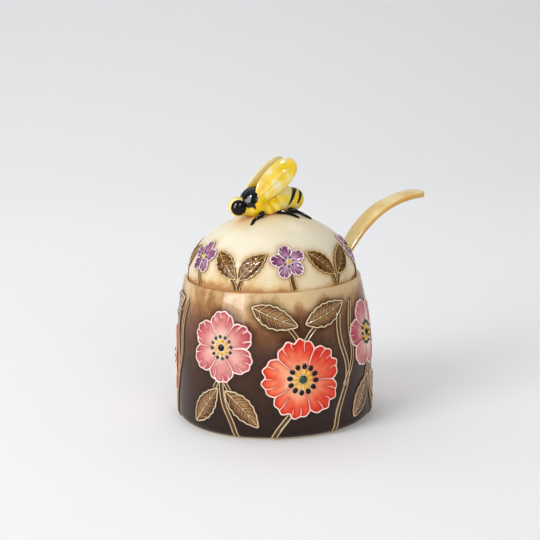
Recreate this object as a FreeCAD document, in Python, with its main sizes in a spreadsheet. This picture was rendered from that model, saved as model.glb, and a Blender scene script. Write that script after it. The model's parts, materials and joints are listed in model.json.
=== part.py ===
import FreeCAD, Part
import math
import os

import Sketcher

# Honey pot of glazed earthenware: a bellied pot, a domed lid that lifts off, a bee finial and a
# serving spoon that leans through a notch in the lid. Applied blossoms and leaves stand on both.
# Millimetres. The origin is the centre of the base, +Z is up, the spoon leaves towards +X and
# the bee looks towards -X.

# Driving sizes: name, value, meaning
SIZES = [
    ("belly_radius", 46.0, "outer radius of the lower pot"),
    ("belly_top", 22.0, "height at which the wall starts to lean in"),
    ("base_corner", 5.0, "round of the bottom corner"),
    ("rim_radius", 41.3, "outer radius at the lip"),
    ("rim_height", 66.7, "top of the lip"),
    ("lip_thickness", 2.1, "wall of the lip outside the lid"),
    ("lip_round", 0.9, "round of the lip's two edges"),
    ("ledge_depth", 3.0, "drop from the lip's top to the ledge that carries the lid"),
    ("ledge_width", 3.7, "width of that ledge"),
    ("ledge_thickness", 2.0, "height of the ledge's inner edge"),
    ("wall_thickness", 4.8, "pot wall at the belly"),
    ("floor_thickness", 5.0, "pot floor"),
    ("floor_corner", 8.0, "inner round between floor and wall"),
    ("lid_clearance", 0.3, "gap between lid and lip"),
    ("dome_height", 29.9, "dome above the lip"),
    ("shoulder_radius", 24.0, "round of the dome's shoulder"),
    ("lid_wall", 4.0, "wall of the lid"),
    ("lid_edge_round", 0.6, "round of the lid's lower outer edge"),
    ("notch_width", 12.6, "width of the spoon notch"),
    ("notch_corner", 3.0, "round of the notch's upper corners"),
    ("notch_headroom", 2.2, "room above the handle in the notch"),
    ("spoon_lean", 51.0, "slope of the spoon's shank, degrees"),
    ("spoon_clearance", 0.45, "gap between the spoon and what it leans on"),
    ("handle_width", 9.2, "width of the spoon's handle"),
    ("handle_thickness", 2.8, "thickness of the spoon's handle"),
    ("handle_edge_flat", 0.4, "flat left between the rounds of the handle's edge"),
    ("bend_start", 18.5, "straight handle above the ledge"),
    ("bend_radius", 47.0, "bend of the handle's middle line"),
    ("bend_angle", 50.0, "turn of the handle, degrees"),
    ("bowl_length", 32.0, "length of the spoon's bowl"),
    ("bowl_width", 21.0, "width of the spoon's bowl"),
    ("bowl_depth", 8.0, "outer depth of the spoon's bowl"),
    ("bowl_wall", 2.4, "wall of the spoon's bowl"),
    ("head_radius", 4.7, "bee's head"),
    ("head_forward", 17.4, "head centre ahead of the dome's top"),
    ("head_lift", 3.8, "head centre above the dome's top"),
    ("thorax_radius", 7.4, "bee's thorax"),
    ("thorax_forward", 8.2, "thorax centre ahead of the dome's top"),
    ("thorax_lift", 5.1, "thorax centre above the dome's top"),
    ("abdomen_front", 7.0, "radius of the bee's abdomen near the thorax"),
    ("abdomen_rear", 5.5, "radius of its rounded end"),
    ("abdomen_span", 8.6, "distance between the centres of those two rounds"),
    ("abdomen_behind", 3.2, "front round's centre behind the dome's top"),
    ("abdomen_lift", 5.4, "front round's centre above the dome's top"),
    ("abdomen_droop", 6.0, "slope of the abdomen towards its end, degrees"),
    ("eye_radius", 3.6, "bee's eye"),
    ("eye_seat", 2.3, "eye's centre from the head's centre"),
    ("eye_turn", 66.0, "eye's direction from straight ahead, degrees"),
    ("eye_rise", 4.0, "eye's direction above level, degrees"),
    ("wing_length", 12.5, "half the length of a wing"),
    ("wing_width", 6.2, "half its width"),
    ("wing_thickness", 1.5, "half its thickness"),
    ("wing_behind", 0.3, "wing centre behind the dome's top"),
    ("wing_aside", 5.3, "wing centre beside the bee's middle"),
    ("wing_lift", 15.9, "wing centre above the dome's top"),
    ("wing_rise", 37.0, "slope of a wing, degrees"),
    ("wing_roof", 20.0, "inward lean of a wing's upper edge, degrees"),
    ("leg_radius", 0.9, "half the thickness of a leg"),
    ("foot_radius", 1.1, "rounded foot of a leg"),
    ("knee_radius", 1.4, "knee at a leg's upper end"),
    ("front_knee_forward", 8.1, "front knees ahead of the dome's top"),
    ("front_knee_aside", 6.6, "beside the bee's middle"),
    ("front_knee_lift", 1.7, "above the dome's top"),
    ("front_foot_forward", 15.6, "front feet ahead of the dome's top"),
    ("front_foot_aside", 8.1, "beside the bee's middle"),
    ("middle_knee_forward", -0.2, "middle knees ahead of the dome's top"),
    ("middle_knee_aside", 6.4, "beside the bee's middle"),
    ("middle_knee_lift", 0.4, "above the dome's top"),
    ("middle_foot_forward", -8.7, "middle feet ahead of the dome's top"),
    ("middle_foot_aside", 11.7, "beside the bee's middle"),
    ("hind_knee_forward", -7.3, "hind knees ahead of the dome's top"),
    ("hind_knee_aside", 6.0, "beside the bee's middle"),
    ("hind_knee_lift", 0.1, "above the dome's top"),
    ("hind_foot_forward", -16.2, "hind feet ahead of the dome's top"),
    ("hind_foot_aside", 9.9, "beside the bee's middle"),
    ("relief_height", 0.8, "how far applied blossoms and leaves stand out"),
    ("coral_radius", 19.0, "coral blossom, centre to petal tip"),
    ("pink_radius", 16.5, "pink blossom, centre to petal tip"),
    ("mauve_radius", 8.6, "mauve blossom on the lid, centre to petal tip"),
    ("coral_height", 28.0, "height of a coral blossom's centre"),
    ("pink_height", 42.0, "height of a pink blossom's centre"),
    ("upper_leaf_drop", 10.5, "leaves above a coral blossom, below the lip"),
    ("lower_leaf_height", 14.5, "height of the leaves below a pink blossom"),
    ("leaf_length", 22.0, "leaf on the pot"),
    ("leaf_width", 9.5, "its width"),
    ("lid_leaf_length", 17.0, "leaf on the lid"),
    ("lid_leaf_width", 8.0, "its width"),
    ("lid_blossom_slope", 32.0, "slope of the dome's normal at the lid's blossoms, degrees"),
    ("lid_leaf_slope", 27.0, "slope of the dome's normal at the lid's leaves, degrees"),
    ("layout_wall", 60.8, "height of wall that the pot's motifs fill at full size"),
    ("layout_belly", 46.0, "radius of wall that they go round at full size"),
    ("layout_lid", 38.9, "radius of lid that its motifs go round at full size"),
]

LEGS = ("front", "middle", "hind")

# Applied motifs. Blossoms on the pot: azimuth and turn in degrees
POT_CORAL = [(-104.0, 12.0), (12.0, -8.0), (140.0, 20.0)]
POT_PINK = [(-151.0, 0.0), (-50.0, 20.0), (75.0, 10.0)]
CORAL_PETALS = 5
PINK_PETALS = 6
# Leaves spread in pairs from each blossom: azimuth from the blossom's and turn, in degrees
UPPER_LEAVES = [(-15.0, -24.0), (17.0, 20.0)]
LOWER_LEAVES = [(-11.0, 52.0), (12.0, -46.0)]
# Blossoms on the lid: azimuth and turn, all at one slope
LID_MAUVE = [(36.0, 30.0), (108.0, -15.0), (180.0, 0.0), (-108.0, 10.0), (-36.0, 25.0)]
MAUVE_PETALS = 5
LID_LEAF_PAIR = [(-26.0, 45.0), (26.0, -45.0)]
# Leaves nearer to the notch than this, in degrees, are left off
NOTCH_MARGIN = 20.0

doc = FreeCAD.newDocument("honey_pot")
sheet = doc.addObject("Spreadsheet::Sheet", "sizes")
for row, (alias, number, meaning) in enumerate(SIZES, start=1):
    sheet.set(f"A{row}", alias)
    sheet.set(f"B{row}", str(number))
    sheet.setAlias(f"B{row}", alias)
    sheet.set(f"C{row}", meaning)
doc.recompute()

# Lengths that follow from the driving sizes, as expressions
LIP_INNER = "(sizes.rim_radius - sizes.lip_thickness)"
LEDGE_RADIUS = f"({LIP_INNER} - sizes.ledge_width)"
LEDGE_Z = "(sizes.rim_height - sizes.ledge_depth)"
LIP_SIDE_Z = "(sizes.rim_height - sizes.lip_round)"
# A wall leans in towards the lip, or flares out if the lip is the wider
LEAN_IN = "(sizes.belly_radius - sizes.rim_radius)"
LEAN_SIGN = f"({LEAN_IN} / abs({LEAN_IN}))"
TAPER_RISE = f"({LIP_SIDE_Z} - sizes.belly_top)"
TAPER_RADIUS = f"(({TAPER_RISE}^2 + {LEAN_IN}^2) / (2 * abs({LEAN_IN})))"
INNER_BELLY = "(sizes.belly_radius - sizes.wall_thickness)"
INNER_LEAN = f"({INNER_BELLY} - {LEDGE_RADIUS})"
INNER_SIGN = f"({INNER_LEAN} / abs({INNER_LEAN}))"
LEDGE_UNDER_Z = f"({LEDGE_Z} - sizes.ledge_thickness)"
INNER_RISE = f"({LEDGE_UNDER_Z} - sizes.belly_top)"
INNER_TAPER = f"(({INNER_RISE}^2 + {INNER_LEAN}^2) / (2 * abs({INNER_LEAN})))"

LID_RADIUS = f"({LIP_INNER} - sizes.lid_clearance)"
SHOULDER_X = f"({LID_RADIUS} - sizes.shoulder_radius)"
CROWN_RADIUS = (
    f"(({SHOULDER_X}^2 + sizes.dome_height^2 - sizes.shoulder_radius^2)"
    " / (2 * (sizes.dome_height - sizes.shoulder_radius)))"
)
APEX_Z = "(sizes.rim_height + sizes.dome_height)"
CROWN_Z = f"({APEX_Z} - {CROWN_RADIUS})"
CENTRES_APART = f"({CROWN_RADIUS} - sizes.shoulder_radius)"

# The shank leans on the ledge's inner edge, a clearance away
REST_OFF = "(sizes.handle_thickness / 2 + sizes.spoon_clearance)"
REST_X = f"({LEDGE_RADIUS} - {REST_OFF} * sin(sizes.spoon_lean * 1deg))"
REST_Z = f"({LEDGE_Z} + {REST_OFF} * cos(sizes.spoon_lean * 1deg))"
BOWL_HANGS = (
    "sqrt((sizes.bowl_length / 2 * sin(sizes.spoon_lean * 1deg))^2"
    " + (sizes.bowl_depth * cos(sizes.spoon_lean * 1deg))^2)"
)
# Distance along the shank from the ledge to the middle of the bowl, whose tip clears the floor
BOWL_BELOW = (
    f"(({REST_Z} + sizes.handle_thickness / 2 * cos(sizes.spoon_lean * 1deg) - {BOWL_HANGS}"
    " - sizes.floor_thickness - sizes.spoon_clearance) / sin(sizes.spoon_lean * 1deg))"
)
NOTCH_TOP = (
    f"({REST_Z} + ({LID_RADIUS} - {REST_X}) * tan(sizes.spoon_lean * 1deg)"
    " + sizes.handle_thickness / 2 / cos(sizes.spoon_lean * 1deg) + sizes.notch_headroom)"
)
# Motifs keep their full size as long as the wall has the room for their layout, or follow the lid
POT_FIT = (
    f"min(({LIP_SIDE_Z} - sizes.base_corner) / sizes.layout_wall; sizes.belly_radius / sizes.layout_belly)"
)
LID_FIT = f"({LID_RADIUS} / sizes.layout_lid)"


def value(expression):
    """Number that an expression over the sheet gives."""
    return float(sheet.evalExpression(expression))


def bind(item, **expressions):
    """Ties properties of an object to expressions over the sheet."""
    for prop, expression in expressions.items():
        item.setExpression(prop.replace("__", "."), expression)
    return item


def new_body(name):
    body = doc.addObject("PartDesign::Body", name)
    body.Label = name
    return body


def arc_between(start, end, radius, turn):
    """Arc from start to end: turn +1 bends to the left, -1 to the right."""
    chord = end - start
    half = chord.Length / 2
    side = FreeCAD.Vector(-chord.y, chord.x, 0).normalize() * turn
    centre = start + chord * 0.5 + side * math.sqrt(max(radius**2 - half**2, 0))
    first, last = (start, end) if turn > 0 else (end, start)
    angles = [math.atan2(p.y - centre.y, p.x - centre.x) for p in (first, last)]
    circle = Part.Circle(centre, FreeCAD.Vector(0, 0, 1), radius)
    return Part.ArcOfCircle(circle, angles[0], angles[1])


def outline(body, name, role, corners, bends, closed=True):
    """Sketch on an origin plane. Corners are pairs of expressions, and bends maps a side's number
    to its radius expression and turn. Every corner and radius is a bound constraint."""
    sketch = body.newObject("Sketcher::SketchObject", name)
    plane = next(f for f in body.Origin.OriginFeatures if f.Role == role)
    sketch.AttachmentSupport = [(plane, "")]
    sketch.MapMode = "FlatFace"
    points = [FreeCAD.Vector(value(across), value(along), 0) for across, along in corners]
    sides = len(points) if closed else len(points) - 1
    ends = []
    for side in range(sides):
        start, end = points[side], points[(side + 1) % len(points)]
        if side in bends:
            radius, turn = bends[side]
            geometry = sketch.addGeometry(arc_between(start, end, value(radius), turn), False)
            ends.append((geometry, 1, 2) if turn > 0 else (geometry, 2, 1))
        else:
            geometry = sketch.addGeometry(Part.LineSegment(start, end), False)
            ends.append((geometry, 1, 2))
    for side in range(sides if closed else sides - 1):
        geometry, _, last = ends[side]
        following, first, _ = ends[(side + 1) % sides]
        sketch.addConstraint(Sketcher.Constraint("Coincident", geometry, last, following, first))
    for number, pair in enumerate(corners):
        geometry, spot = (ends[number][0], ends[number][1]) if number < sides else (ends[-1][0], ends[-1][2])
        for kind, expression in zip(("DistanceX", "DistanceY"), pair):
            made = Sketcher.Constraint(kind, -1, 1, geometry, spot, value(expression))
            sketch.setExpression(f"Constraints[{sketch.addConstraint(made)}]", expression)
    for side, (radius, _) in bends.items():
        made = Sketcher.Constraint("Radius", ends[side][0], value(radius))
        sketch.setExpression(f"Constraints[{sketch.addConstraint(made)}]", radius)
    return sketch


def revolve(body, sketch, axis="V_Axis"):
    turned = body.newObject("PartDesign::Revolution", f"{body.Name}_turned")
    turned.Profile = sketch
    turned.ReferenceAxis = (sketch, [axis])
    turned.Angle = 360.0
    sketch.Visibility = False
    return turned


# Pot: one lathe profile with the rounded lip and the ledge inside it
def make_pot():
    pot = new_body("pot_body")
    corners = [
        ("0", "0"),
        ("sizes.belly_radius - sizes.base_corner", "0"),
        ("sizes.belly_radius", "sizes.base_corner"),
        ("sizes.belly_radius", "sizes.belly_top"),
        ("sizes.rim_radius", LIP_SIDE_Z),
        ("sizes.rim_radius - sizes.lip_round", "sizes.rim_height"),
        (f"{LIP_INNER} + sizes.lip_round", "sizes.rim_height"),
        (LIP_INNER, LIP_SIDE_Z),
        (LIP_INNER, LEDGE_Z),
        (LEDGE_RADIUS, LEDGE_Z),
        (LEDGE_RADIUS, LEDGE_UNDER_Z),
        (INNER_BELLY, "sizes.belly_top"),
        (INNER_BELLY, "sizes.floor_thickness + sizes.floor_corner"),
        (f"{INNER_BELLY} - sizes.floor_corner", "sizes.floor_thickness"),
        ("0", "sizes.floor_thickness"),
    ]
    bends = {
        1: ("sizes.base_corner", 1),
        3: (TAPER_RADIUS, value(LEAN_SIGN)),
        4: ("sizes.lip_round", 1),
        6: ("sizes.lip_round", 1),
        10: (INNER_TAPER, -value(INNER_SIGN)),
        12: ("sizes.floor_corner", -1),
    }
    revolve(pot, outline(pot, "pot_profile", "XZ_Plane", corners, bends))
    return pot


# Lid: a dome of two arcs that rests on the ledge, with the notch that the spoon leans through
def dome_point(offset):
    """Where the shoulder's arc meets the crown's arc, on the surface offset outwards."""
    along = f"(({CROWN_RADIUS} + {offset}) / {CENTRES_APART})"
    return f"{SHOULDER_X} * {along}", f"{CROWN_Z} + (sizes.rim_height - {CROWN_Z}) * {along}"


def make_lid():
    lid = new_body("lid_dome")
    inner = f"({LID_RADIUS} - sizes.lid_wall)"
    corners = [
        (inner, LEDGE_Z),
        (f"{LID_RADIUS} - sizes.lid_edge_round", LEDGE_Z),
        (LID_RADIUS, f"{LEDGE_Z} + sizes.lid_edge_round"),
        (LID_RADIUS, "sizes.rim_height"),
        dome_point("0"),
        ("0", APEX_Z),
        ("0", f"{APEX_Z} - sizes.lid_wall"),
        dome_point("-sizes.lid_wall"),
        (inner, "sizes.rim_height"),
    ]
    bends = {
        1: ("sizes.lid_edge_round", 1),
        3: ("sizes.shoulder_radius", 1),
        4: (CROWN_RADIUS, 1),
        6: (f"{CROWN_RADIUS} - sizes.lid_wall", -1),
        7: ("sizes.shoulder_radius - sizes.lid_wall", -1),
    }
    revolve(lid, outline(lid, "lid_profile", "XZ_Plane", corners, bends))
    doc.recompute()
    whole = lid.Shape.Volume
    half = "sizes.notch_width / 2"
    low = f"{LEDGE_Z} - sizes.ledge_depth"
    side = f"{NOTCH_TOP} - sizes.notch_corner"
    notch = [
        (f"-{half}", low),
        (half, low),
        (half, side),
        (f"{half} - sizes.notch_corner", NOTCH_TOP),
        (f"sizes.notch_corner - {half}", NOTCH_TOP),
        (f"-{half}", side),
    ]
    rounds = {2: ("sizes.notch_corner", 1), 4: ("sizes.notch_corner", 1)}
    pocket = lid.newObject("PartDesign::Pocket", "spoon_notch")
    pocket.Profile = outline(lid, "notch_outline", "YZ_Plane", notch, rounds)
    pocket.Reversed = True
    bind(pocket, Length="sizes.rim_radius")
    doc.recompute()
    if not lid.Shape.Volume < whole:
        raise RuntimeError("the notch cuts nothing")
    return lid


# Spoon: made lying along its own X axis from the point where it leans on the ledge
def make_spoon():
    spoon = new_body("spoon")
    thick = "(sizes.handle_thickness / 2)"
    middle = f"-{BOWL_BELOW}"
    for kind, name, shrink in (("Additive", "bowl_outside", "0"), ("Subtractive", "bowl_hollow", "sizes.bowl_wall")):
        egg = spoon.newObject(f"PartDesign::{kind}Ellipsoid", name)
        bind(
            egg,
            Radius1=f"sizes.bowl_depth - {shrink}",
            Radius2=f"sizes.bowl_length / 2 - {shrink}",
            Radius3=f"sizes.bowl_width / 2 - {shrink}",
            Placement__Base__x=middle,
            Placement__Base__z=thick,
        )
        doc.recompute()
    above = spoon.newObject("PartDesign::SubtractiveBox", "bowl_mouth")
    bind(
        above,
        Length="sizes.bowl_length",
        Width="sizes.bowl_width",
        Height="sizes.bowl_depth",
        Placement__Base__x=f"{middle} - sizes.bowl_length / 2",
        Placement__Base__y="-sizes.bowl_width / 2",
        Placement__Base__z=thick,
    )
    doc.recompute()

    flat = "(sizes.handle_edge_flat / 2)"
    edge_round = f"({thick} - {flat})"
    wide = "(sizes.handle_width / 2)"
    edge = f"({wide} - {edge_round})"
    corners = [
        (f"-{edge}", f"-{thick}"), (edge, f"-{thick}"), (wide, f"-{flat}"), (wide, flat),
        (edge, thick), (f"-{edge}", thick), (f"-{wide}", flat), (f"-{wide}", f"-{flat}"),
    ]
    rounds = {side: (edge_round, 1) for side in (1, 3, 5, 7)}
    section = outline(spoon, "handle_section", "YZ_Plane", corners, rounds)
    shank = spoon.newObject("PartDesign::Pad", "shank")
    shank.Profile = section
    shank.Reversed = True
    bind(shank, Length=f"{BOWL_BELOW} - sizes.bowl_length / 2 + sizes.bowl_wall / 2")
    doc.recompute()

    turn = "(sizes.bend_angle * 1deg)"
    end_x = f"(sizes.bend_start + sizes.bend_radius * sin({turn}))"
    end_z = f"(sizes.bend_radius * (cos({turn}) - 1))"
    route = [("0", "0"), ("sizes.bend_start", "0"), (end_x, end_z)]
    spine = outline(spoon, "handle_line", "XZ_Plane", route, {1: ("sizes.bend_radius", -1)}, closed=False)
    handle = spoon.newObject("PartDesign::AdditivePipe", "handle")
    handle.Profile = section
    handle.Spine = (spine, ["Edge1", "Edge2"])
    doc.recompute()

    # The rounded end is a little slimmer than the handle, so that their faces don't touch edge on,
    # and its pole points along the handle
    square_ended = spoon.Shape.Volume
    tip = spoon.newObject("PartDesign::AdditiveEllipsoid", "handle_tip")
    tip.Placement = FreeCAD.Placement(
        FreeCAD.Vector(), FreeCAD.Rotation(FreeCAD.Vector(0, 1, 0), value("90 + sizes.bend_angle"))
    )
    bind(
        tip,
        Radius1=f"{wide} - {flat}",
        Radius2=edge_round,
        Radius3=f"{wide} - {flat}",
        Placement__Base__x=end_x,
        Placement__Base__z=end_z,
    )
    spoon.Tip = tip
    doc.recompute()
    if not spoon.Shape.Volume > square_ended:
        raise RuntimeError("the handle's rounded end adds nothing")
    leaning = FreeCAD.Rotation(FreeCAD.Vector(0, -1, 0), value("sizes.spoon_lean"))
    spoon.Placement = FreeCAD.Placement(FreeCAD.Vector(), leaning)
    return bind(spoon, Placement__Base__x=REST_X, Placement__Base__z=REST_Z)


def sphere(name, radius, centre):
    """Sphere bound to the sheet, about a centre of three expressions."""
    ball = doc.addObject("Part::Sphere", name)
    across, aside, up = centre
    return bind(ball, Radius=radius, Placement__Base__x=across, Placement__Base__y=aside, Placement__Base__z=up)


def cut(name, base, tool):
    taken = doc.addObject("Part::Cut", name)
    taken.Base = base
    taken.Tool = tool
    return taken


def join(name, pieces):
    joined = doc.addObject("Part::MultiFuse", name)
    joined.Shapes = pieces
    return joined


# Bee finial: luted onto the dome's top, so everything of it is cut to the dome's crown
def above(lift):
    return f"({APEX_Z} + {lift})"


def make_abdomen():
    """Two rounds joined by a cone, turned about their own axis, which is the body's X axis."""
    abdomen = new_body("bee_abdomen")
    narrowing = "((sizes.abdomen_front - sizes.abdomen_rear) / sizes.abdomen_span)"
    slant = f"sqrt(1 - {narrowing}^2)"
    corners = [
        ("-sizes.abdomen_front", "0"),
        ("sizes.abdomen_span + sizes.abdomen_rear", "0"),
        (f"sizes.abdomen_span + sizes.abdomen_rear * {narrowing}", f"sizes.abdomen_rear * {slant}"),
        (f"sizes.abdomen_front * {narrowing}", f"sizes.abdomen_front * {slant}"),
    ]
    bends = {1: ("sizes.abdomen_rear", 1), 3: ("sizes.abdomen_front", 1)}
    revolve(abdomen, outline(abdomen, "abdomen_profile", "XZ_Plane", corners, bends), "H_Axis")
    drooping = FreeCAD.Rotation(FreeCAD.Vector(0, 1, 0), value("sizes.abdomen_droop"))
    abdomen.Placement = FreeCAD.Placement(FreeCAD.Vector(), drooping)
    return bind(abdomen, Placement__Base__x="sizes.abdomen_behind", Placement__Base__z=above("sizes.abdomen_lift"))


def make_wing(name, side, figure):
    """Flat egg that rises backwards, its upper edge leaning in like a roof, cut to the bee's flank."""
    rise = "(sizes.wing_rise * 1deg)"
    roof = "(sizes.wing_roof * 1deg)"
    along = FreeCAD.Vector(value(f"cos({rise})"), 0, value(f"sin({rise})"))
    outwards = FreeCAD.Vector(
        value(f"-sin({roof}) * sin({rise})"), value(f"{side} * cos({roof})"), value(f"sin({roof}) * cos({rise})")
    )
    blade = doc.addObject("Part::Ellipsoid", f"{name}_blade")
    facing = FreeCAD.Rotation(along, FreeCAD.Vector(), outwards, "XZY")
    blade.Placement = FreeCAD.Placement(FreeCAD.Vector(), facing)
    bind(
        blade,
        Radius1="sizes.wing_thickness",
        Radius2="sizes.wing_length",
        Radius3="sizes.wing_width",
        Placement__Base__x="sizes.wing_behind",
        Placement__Base__y=f"{side} * sizes.wing_aside",
        Placement__Base__z=above("sizes.wing_lift"),
    )
    return cut(name, blade, figure)


def leg_pieces(leg, side):
    """Round trail from a knee on the bee's flank to a foot on the dome."""
    knee = (f"-sizes.{leg}_knee_forward", f"{side} * sizes.{leg}_knee_aside", above(f"sizes.{leg}_knee_lift"))
    reach = f"(sizes.{leg}_foot_forward^2 + sizes.{leg}_foot_aside^2)"
    foot_z = f"{CROWN_Z} + sqrt({CROWN_RADIUS}^2 - {reach})"
    foot = (f"-sizes.{leg}_foot_forward", f"{side} * sizes.{leg}_foot_aside", foot_z)
    start, end = (FreeCAD.Vector(*[value(part) for part in place]) for place in (knee, foot))
    shin = bind(doc.addObject("Part::Cylinder", f"{leg}_shin"), Radius="sizes.leg_radius")
    shin.Height = (end - start).Length
    shin.Placement = FreeCAD.Placement(start, FreeCAD.Rotation(FreeCAD.Vector(0, 0, 1), end - start))
    return [
        shin,
        sphere(f"{leg}_foot", "sizes.foot_radius", foot),
        sphere(f"{leg}_knee", "sizes.knee_radius", knee),
    ]


def make_bee():
    crown = sphere("dome_crown", CROWN_RADIUS, ("0", "0", CROWN_Z))
    head = sphere("bee_head", "sizes.head_radius", ("-sizes.head_forward", "0", above("sizes.head_lift")))
    thorax = sphere("bee_thorax", "sizes.thorax_radius", ("-sizes.thorax_forward", "0", above("sizes.thorax_lift")))
    figure = join("bee_figure", [head, thorax, make_abdomen()])
    nodes = [cut("bee_body", figure, crown)]

    eyes = []
    level = "sizes.eye_seat * cos(sizes.eye_rise * 1deg)"
    for side in (-1, 1):
        spot = (
            f"-sizes.head_forward - {level} * cos(sizes.eye_turn * 1deg)",
            f"{side} * {level} * sin(sizes.eye_turn * 1deg)",
            above("sizes.head_lift") + " + sizes.eye_seat * sin(sizes.eye_rise * 1deg)",
        )
        eyes.append(sphere("eye_ball", "sizes.eye_radius", spot))
    nodes.append(cut("bee_eyes", join("eye_pair", eyes), figure))

    for name, side in (("bee_wing_left", -1), ("bee_wing_right", 1)):
        nodes.append(make_wing(name, side, figure))

    trails = []
    for side in (-1, 1):
        for leg in LEGS:
            trails += leg_pieces(leg, side)
    nodes.append(cut("bee_legs", cut("leg_trails", join("leg_group", trails), figure), crown))
    return nodes


# Applied clay: flat outlines pressed onto the wall, standing out by the relief height
def pot_surface(azimuth, height):
    """Point, outward normal and upward tangent of the pot's wall."""
    radius = value("sizes.belly_radius")
    lean = 0.0
    if height > value("sizes.belly_top"):
        taper = value(TAPER_RADIUS) * value(LEAN_SIGN)
        lean = math.asin((height - value("sizes.belly_top")) / taper)
        radius = radius - taper * (1 - math.cos(lean))
    return place_on(azimuth, radius, height, lean)


def lid_surface(azimuth, slope):
    """The same for the dome, at a slope of its normal above level."""
    lean = math.asin(value(f"sin({slope} * 1deg)"))
    shoulder_end = math.asin(value(f"(sizes.rim_height - {CROWN_Z}) / {CENTRES_APART}"))
    if lean < shoulder_end:
        round_radius = value("sizes.shoulder_radius")
        radius = value(SHOULDER_X) + round_radius * math.cos(lean)
        height = value("sizes.rim_height") + round_radius * math.sin(lean)
    else:
        radius = value(CROWN_RADIUS) * math.cos(lean)
        height = value(CROWN_Z) + value(CROWN_RADIUS) * math.sin(lean)
    return place_on(azimuth, radius, height, lean)


def place_on(azimuth, radius, height, lean):
    around = FreeCAD.Rotation(FreeCAD.Vector(0, 0, 1), azimuth)
    spot = around.multVec(FreeCAD.Vector(radius, 0, height))
    normal = around.multVec(FreeCAD.Vector(math.cos(lean), 0, math.sin(lean)))
    upward = around.multVec(FreeCAD.Vector(-math.sin(lean), 0, math.cos(lean)))
    return spot, normal, upward


def frame_on(surface, turn):
    """Placement on the wall: X to the right, Y up, turned by an angle, Z outwards."""
    spot, normal, upward = surface
    facing = FreeCAD.Rotation(FreeCAD.Vector(), upward, normal, "ZYX")
    turned = facing.multiply(FreeCAD.Rotation(FreeCAD.Vector(0, 0, 1), turn))
    return FreeCAD.Placement(spot, turned)


def stamp_cylinder(name, frame, across, along, radius, reach):
    """Round stamp through the wall at a place in the motif's own frame."""
    stamp = doc.addObject("Part::Cylinder", name)
    sunk = FreeCAD.Placement(FreeCAD.Vector(across, along, -value(reach)), FreeCAD.Rotation())
    stamp.Placement = frame.multiply(sunk)
    return bind(stamp, Radius=radius, Height=f"2 * {reach}")


def blossom_stamps(name, frame, petals, radius):
    """A round heart and a ring of round petals that touch one another."""
    wedge = math.sin(math.pi / petals)
    ring = f"{radius} / (1 + {wedge})"
    stamps = [stamp_cylinder(f"{name}_heart", frame, 0, 0, ring, radius)]
    for number in range(petals):
        angle = math.pi / 2 + 2 * math.pi * number / petals
        across, along = value(ring) * math.cos(angle), value(ring) * math.sin(angle)
        stamps.append(stamp_cylinder(f"{name}_petal", frame, across, along, f"{ring} * {wedge}", radius))
    return stamps


def leaf_stamp(name, frame, length, width):
    """Two round stamps whose common part is a pointed leaf along the motif's X axis."""
    bow = f"(({length} / 2)^2 + ({width} / 2)^2) / {width}"
    off = value(bow) - value(width) / 2
    leaf = doc.addObject("Part::MultiCommon", name)
    leaf.Shapes = [
        stamp_cylinder(f"{name}_edge", frame, 0, side * off, bow, f"({length} / 2)") for side in (-1, 1)
    ]
    return leaf


def relief_zone(name, corners, bends):
    zone = new_body(name)
    revolve(zone, outline(zone, f"{name}_profile", "XZ_Plane", corners, bends))
    return zone


def applied(name, zone, stamps):
    node = doc.addObject("Part::MultiCommon", name)
    node.Shapes = [join(f"{name}_stamps", stamps), zone]
    return node


def make_pot_relief():
    outer = "sizes.belly_radius + sizes.relief_height"
    zone = relief_zone(
        "pot_relief_zone",
        [
            ("sizes.belly_radius", "sizes.base_corner"),
            (outer, "sizes.base_corner"),
            (outer, "sizes.belly_top"),
            (
                f"sizes.rim_radius + sizes.relief_height * (1 - abs({LEAN_IN}) / {TAPER_RADIUS})",
                f"{LIP_SIDE_Z} + {LEAN_SIGN} * sizes.relief_height * {TAPER_RISE} / {TAPER_RADIUS}",
            ),
            ("sizes.rim_radius", LIP_SIDE_Z),
            ("sizes.belly_radius", "sizes.belly_top"),
        ],
        {
            2: (f"{TAPER_RADIUS} + {LEAN_SIGN} * sizes.relief_height", value(LEAN_SIGN)),
            4: (TAPER_RADIUS, -value(LEAN_SIGN)),
        },
    )
    nodes = []
    leaves = []
    leaf = (f"({POT_FIT} * sizes.leaf_length)", f"({POT_FIT} * sizes.leaf_width)")
    upper_leaf = f"sizes.rim_height - {POT_FIT} * sizes.upper_leaf_drop"
    lower_leaf = f"{POT_FIT} * sizes.lower_leaf_height"
    for flower, places, petals, pair, leaf_height in (
        ("coral", POT_CORAL, CORAL_PETALS, UPPER_LEAVES, upper_leaf),
        ("pink", POT_PINK, PINK_PETALS, LOWER_LEAVES, lower_leaf),
    ):
        name = f"pot_{flower}_blossoms"
        height = value(f"{POT_FIT} * sizes.{flower}_height")
        stamps = []
        for azimuth, turn in places:
            frame = frame_on(pot_surface(azimuth, height), turn)
            stamps += blossom_stamps(name, frame, petals, f"({POT_FIT} * sizes.{flower}_radius)")
            for aside, leaf_turn in pair:
                frame = frame_on(pot_surface(azimuth + aside, value(leaf_height)), leaf_turn)
                leaves.append(leaf_stamp("pot_leaf", frame, *leaf))
        nodes.append(applied(name, zone, stamps))
    nodes.append(applied("pot_leaves", zone, leaves))
    return nodes


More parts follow.
